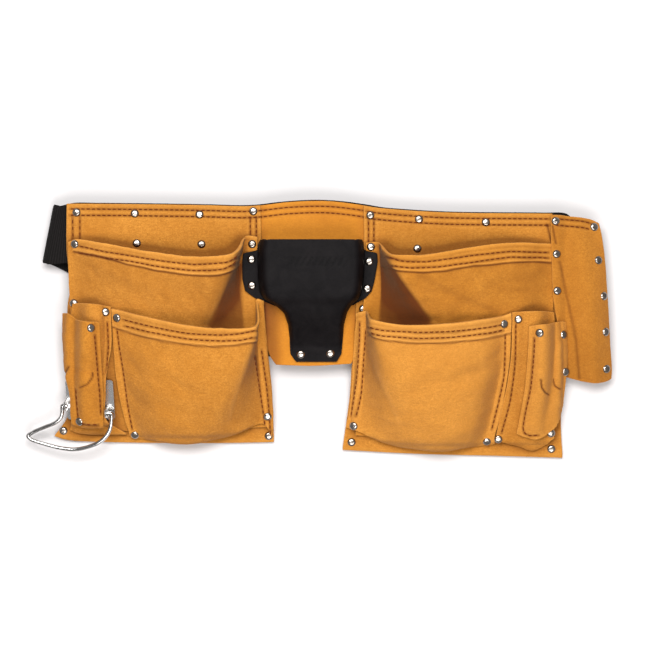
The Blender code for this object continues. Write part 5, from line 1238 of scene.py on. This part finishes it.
def strap_loop_stations():
    st = []
    up = -BP

    def at_s(s, z):
        p = B0 + BD * s
        st.append((np.array([p[0], p[1], z]), np.array([up[0], up[1], 0.0])))

    for s, z in ((150, STRAP_R + 2.7), (138, STRAP_R + 2.7), (124, STRAP_R + 2.7), (106, STRAP_R + 2.9), (92, STRAP_Z + 5.0), (84, BAR_Z + 3.1), (80, BAR_Z + 3.7)):
        at_s(s, z)
    for k in range(0, 7):
        t = math.pi * k / 6
        at_s(77.0 - 3.7 * math.sin(t), BAR_Z + 3.7 * math.cos(t))
    for s in (80, 84, 87):
        at_s(s, STRAP_Z)
    return st


rib_strap("web_waist", STATIONS, WEB_WIDTH, WEB_THICK, "waist_webbing", "belt")
rib_strap("web_loop", strap_loop_stations(), WEB_WIDTH, WEB_THICK, "strap_loop", "buckle_male")


# ----------------------------------------------------------------- hammer loop
PIVOT_C = 8.5
PIVOT_L = np.array([65.3, 404.0])
PIVOT_R = np.array([106.8, 411.0])


def pivot_point(p):
    q = to_m(np.array([p[0], p[1], plane[0] * p[0] + plane[1] * p[1] + plane[2] + lift]))
    return Vector(q) + ez * (PIVOT_C * 0.001)


pl, pr = pivot_point(PIVOT_L), pivot_point(PIVOT_R)
axis_lr = (pr - pl).normalized()
LOOP = [(110.6, 414.6, 0), (110.3, 424, 0), (108, 432, 0), (104, 438, 0), (98, 443, 0), (88, 447.3, 0), (73.6, 450.2, 0), (58, 448.8, 0), (43, 445, 0), (33, 442, 0),
        (27, 439.4, 0), (25.6, 436.8, 0), (29.5, 434, 0), (36, 430.6, 0), (45, 427, 0), (53.6, 423.4, 0), (59, 418.5, 0), (60.6, 412.5, 0), (60.6, 407.6, 0)]


def loop_centre():
    normal = axis_lr.cross(Vector((0, -1, -0.06))).normalized()
    if normal.z < 0:
        normal = -normal
    body = []
    for x, y, _ in along(np.array(LOOP, float), np.linspace(0, 1, 30)):
        p = Vector(to_m(np.array([x, y, 0])))
        p.z = pl.z - ((p.x - pl.x) * normal.x + (p.y - pl.y) * normal.y) / normal.z
        body.append(p)
    start = [pr - axis_lr * 0.0014, pr + axis_lr * 0.0008, pr + axis_lr * 0.0026 + (body[0] - pr - axis_lr * 0.0038) * 0.2]
    finish = [pl - axis_lr * 0.0032 + (body[-1] - pl + axis_lr * 0.0046) * 0.2, pl - axis_lr * 0.0012, pl + axis_lr * 0.0022]
    return start + body + finish


def round_bar(name, points, radius, sides, mat):
    p = np.asarray([tuple(v) for v in points], float)
    tan = np.gradient(p, axis=0)
    tan /= np.linalg.norm(tan, axis=1)[:, None]
    n = np.cross(tan[0], (0.13, 0.21, 0.97))
    n /= np.linalg.norm(n)
    verts, faces = [], []
    for k in range(len(p)):
        n = n - tan[k] * (n @ tan[k])
        n /= np.linalg.norm(n)
        b = np.cross(tan[k], n)
        r = radius * (0.82 if k in (0, len(p) - 1) else 1.0)
        for s in range(sides):
            a = 2 * math.pi * s / sides
            verts.append(p[k] + r * (math.cos(a) * n + math.sin(a) * b))
    for k in range(len(p) - 1):
        for s in range(sides):
            faces.append((k * sides + s, k * sides + (s + 1) % sides, (k + 1) * sides + (s + 1) % sides, (k + 1) * sides + s))
    faces.append(tuple(range(sides - 1, -1, -1)))
    faces.append(tuple((len(p) - 1) * sides + s for s in range(sides)))
    me = bpy.data.meshes.new(name)
    me.from_pydata([tuple(v) for v in verts], [], faces)
    me.materials.append(mat)
    me.shade_smooth()
    o = bpy.data.objects.new(name, me)
    bpy.context.scene.collection.objects.link(o)
    bm = bmesh.new()
    bm.from_mesh(me)
    bmesh.ops.recalc_face_normals(bm, faces=bm.faces)
    bm.to_mesh(me)
    bm.free()
    return o


control = np.array([tuple(p) for p in loop_centre()])
fine_loop = along(control, np.linspace(0, 1, 260))
loop = round_bar("steel_hammer_loop", fine_loop, (WIRE_R - 0.32) * 0.001, 28, CHROME)
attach(loop, "hammer_loop")
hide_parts("hammer_loop")


# ----------------------------------------------------------------- CAD pieces that keep their shape: soft edges and finishes
def finish_node(name, mat, width, segments=3):
    o = bpy.data.objects.get(name)
    if o is None:
        o = next(x for x in bpy.data.objects if x.name.split(".")[0] == name)
    o.data.materials.clear()
    o.data.materials.append(mat)
    m = o.modifiers.new("soft edges", "BEVEL")
    m.width, m.segments, m.limit_method, m.angle_limit = width * 0.001, segments, "ANGLE", math.radians(35)
    m.harden_normals = True
    return o


finish_node("hammer_plate", PLATE_STEEL, 0.35)
for part in ("buckle_female", "buckle_male"):
    finish_node(part, PLASTIC, 0.8)
for part in ("buckle_arm_a", "buckle_arm_b", "tri_glide"):
    finish_node(part, PLASTIC, 0.5)


# ----------------------------------------------------------------- rivets
RIVETS = {
    "waist": [(75.4, 212), (199, 214), (253, 211), (74, 244), (136, 243), (252, 244), (370.5, 215), (486.5, 221.8), (556, 221), (371, 246.7), (417.8, 248.4)],
    "left": [(106, 312), (60.5, 432), (133, 436.0), (267, 417.4), (268, 437.3)],
    "holder": [(251.4, 259.3), (251.8, 285.4), (369.2, 261.5), (367.3, 288.6), (300.6, 354.5), (330.3, 353.6)],
    "right": [(353.8, 427), (351.9, 443.6), (500, 440.4), (554, 450.4), (363.3, 309), (518, 319.3)],
    "wing": [(595.5, 226.5), (557.2, 254), (599.5, 260), (557.9, 290.8), (605, 296), (566.7, 372), (608.5, 369.4)],
}
MORE = [(134, 213), (201, 244), (73, 303.3), (117.4, 318), (92.5, 328), (78.5, 422), (419.4, 219), (503.6, 324), (538.2, 333), (564.5, 334.7), (607, 332), (488.4, 443), (553, 434.3)]


def highest(x, y):
    best = None
    for tree in PIECES.values():
        at, nor, _, _ = tree.ray_cast(Vector((x, y, 0.2)), Vector((0, 0, -1)), 0.4)
        if at is not None and (best is None or at.z > best[0].z):
            best = (at, nor if nor.z > 0 else -nor)
    return best


def full_hits(start, way, reach):
    spans = []
    for tree in FULL.values():
        p, left, d = start.copy(), reach, []
        while left > 0:
            at, _, _, dist = tree.ray_cast(p, way, left)
            if at is None:
                break
            d.append((at - start).length)
            p = at + way * 0.00005
            left -= dist + 0.00005
        spans += list(zip(d[::2], d[1::2]))
    return sorted(spans)


CAP = [(0.0, 1.60), (0.9, 1.585), (1.8, 1.53), (2.5, 1.42), (3.0, 1.24), (3.4, 0.98), (3.7, 0.66), (3.92, 0.40), (4.1, 0.26), (4.2, 0.10), (4.15, -0.06), (4.0, -0.14), (1.4, -0.16)]


def cap_mesh(verts, faces, at, axis, depth, rng, segments=30):
    q = axis.to_track_quat("Z", "Y").to_matrix()
    dents = [(rng.uniform(0, 6.28), rng.uniform(0.8, 2.6), rng.uniform(0.05, 0.16)) for _ in range(2)]
    profile = CAP + [(1.4, -depth)] + [(3.4, -depth), (3.5, -depth - 0.3), (3.2, -depth - 0.75), (1.6, -depth - 0.85), (0.0, -depth - 0.85)]
    rings = []
    for r, h in profile:
        if r < 1e-6:
            rings.append([len(verts)])
            verts.append(at + q @ Vector((0, 0, h * 0.001)))
            continue
        ring = []
        for s in range(segments):
            a = 2 * math.pi * s / segments
            px, py = r * math.cos(a), r * math.sin(a)
            hh = h
            if h > 0.3:
                for da, dr, dd in dents:
                    hh -= dd * math.exp(-(((px - dr * math.cos(da)) ** 2 + (py - dr * math.sin(da)) ** 2) / 0.9))
            ring.append(len(verts))
            verts.append(at + q @ Vector((px * 0.001, py * 0.001, hh * 0.001)))
        rings.append(ring)
    for lo, hi in zip(rings[:-1], rings[1:]):
        if len(lo) == 1:
            for s in range(segments):
                faces.append((lo[0], hi[s], hi[(s + 1) % segments]))
        elif len(hi) == 1:
            for s in range(segments):
                faces.append((lo[s], hi[0], lo[(s + 1) % segments]))
        else:
            for s in range(segments):
                faces.append((lo[s], hi[s], hi[(s + 1) % segments], lo[(s + 1) % segments]))


def rivet_object(name, places, nodes):
    verts, faces = [], []
    rng = np.random.RandomState(len(name) * 13 + len(places))
    for x, y in places:
        p = to_m(np.array([x, y, 0.0]))
        centre = highest(p[0], p[1])
        if centre is None:
            continue
        n = Vector((0, 0, 0))
        ring = []
        for a in range(12):
            hit = highest(p[0] + 0.0034 * math.cos(a * math.pi / 6), p[1] + 0.0034 * math.sin(a * math.pi / 6))
            if hit and abs(hit[0].z - centre[0].z) < 0.004:
                n += hit[1]
                ring.append(hit[0])
        n = (n.normalized() * 0.8 + Vector((0, 0, 1)) * 0.2).normalized() if n.length > 0 else Vector((0, 0, 1))
        lift_by = np.percentile([(q - centre[0]).dot(n) for q in ring], 75) if ring else 0.0
        at = centre[0] + n * (max(-0.0006, min(0.0012, float(lift_by))) + 0.00005)
        spans = full_hits(at + n * 0.004, -n, 0.06)
        depth = 5.0
        if spans:
            end = spans[0][1]
            for a, b in spans[1:]:
                if a - end > 0.0075:
                    break
                end = max(end, b)
            depth = max(2.0, (end - 0.004) * 1000)
        cap_mesh(verts, faces, at, n, depth, rng)
    me = bpy.data.meshes.new(name)
    me.from_pydata([tuple(v) for v in verts], [], faces)
    me.materials.append(NICKEL)
    me.shade_smooth()
    o = bpy.data.objects.new(name, me)
    bpy.context.scene.collection.objects.link(o)
    bm = bmesh.new()
    bm.from_mesh(me)
    bmesh.ops.recalc_face_normals(bm, faces=bm.faces)
    bm.to_mesh(me)
    bm.free()
    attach(o, "belt")
    if nodes:
        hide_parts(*nodes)
    return o


for group, places in RIVETS.items():
    rivet_object(f"caps_{group}", places, [f"rivet_{group}_{k + 1}" for k in range(len(places))])
rivet_object("caps_more", MORE, [])


# ----------------------------------------------------------------- floor, lights, camera
def stage_material():
    m, t, b = node_tree("floor_white")
    b.inputs["Base Color"].default_value = (0.71, 0.69, 0.688, 1)
    b.inputs["Roughness"].default_value = 0.9
    b.inputs["Specular IOR Level"].default_value = 0.0
    b.inputs["Emission Color"].default_value = (1, 1, 1, 1)
    b.inputs["Emission Strength"].default_value = 0.0
    return m


me = bpy.data.meshes.new("floor")
me.from_pydata([(-6, -6, -0.0004), (6, -6, -0.0004), (6, 6, -0.0004), (-6, 6, -0.0004)], [], [(0, 1, 2, 3)])
me.materials.append(stage_material())
floor = bpy.data.objects.new("floor", me)
bpy.context.scene.collection.objects.link(floor)

scene = bpy.context.scene
scene.view_settings.view_transform = "Standard"
scene.view_settings.look = "None"
world = bpy.data.worlds.new("studio")
scene.world = world
world.use_nodes = True
wt = world.node_tree
bg = wt.nodes["Background"]
geo = wt.nodes.new("ShaderNodeTexCoord")
sep = wt.nodes.new("ShaderNodeSeparateXYZ")
wt.links.new(geo.outputs["Generated"], sep.inputs[0])
r = wt.nodes.new("ShaderNodeValToRGB")
els = r.color_ramp.elements
els[0].position, els[0].color = 0.0, (0.45, 0.45, 0.46, 1)
els[1].position, els[1].color = 1.0, (0.10, 0.085, 0.075, 1)
e = els.new(0.55)
e.color = (1.0, 0.99, 0.97, 1)
e = els.new(0.82)
e.color = (0.85, 0.85, 0.86, 1)
e = els.new(0.93)
e.color = (0.12, 0.10, 0.09, 1)
wt.links.new(sep.outputs["Z"], r.inputs["Fac"])
wt.links.new(r.outputs["Color"], bg.inputs["Color"])
bg.inputs["Strength"].default_value = WORLD


def area(name, at, target, size, power, colour=(1, 1, 1)):
    d = bpy.data.lights.new(name, "AREA")
    d.shape, d.size, d.size_y = "RECTANGLE", size[0], size[1]
    d.energy, d.color = power, colour
    o = bpy.data.objects.new(name, d)
    o.location = at
    o.rotation_euler = (Vector(target) - Vector(at)).to_track_quat("-Z", "Y").to_euler()
    scene.collection.objects.link(o)
    return o


area("key", (-0.20, 0.80, 2.35), (0, 0, 0), (1.6, 1.0), KEY)
area("fill", (0.25, -0.95, 2.2), (0, 0, 0), (1.6, 1.0), FILL)

cam = bpy.data.cameras.new("camera")
cam.lens, cam.sensor_width = 164.0, 36.0
cam.dof.use_dof = False
cam.clip_end = 20
camera = bpy.data.objects.new("camera", cam)
camera.location = (CAM_X, CAM_Y, 3.0)
camera.rotation_euler = (0, 0, 0)
scene.collection.objects.link(camera)
scene.camera = camera
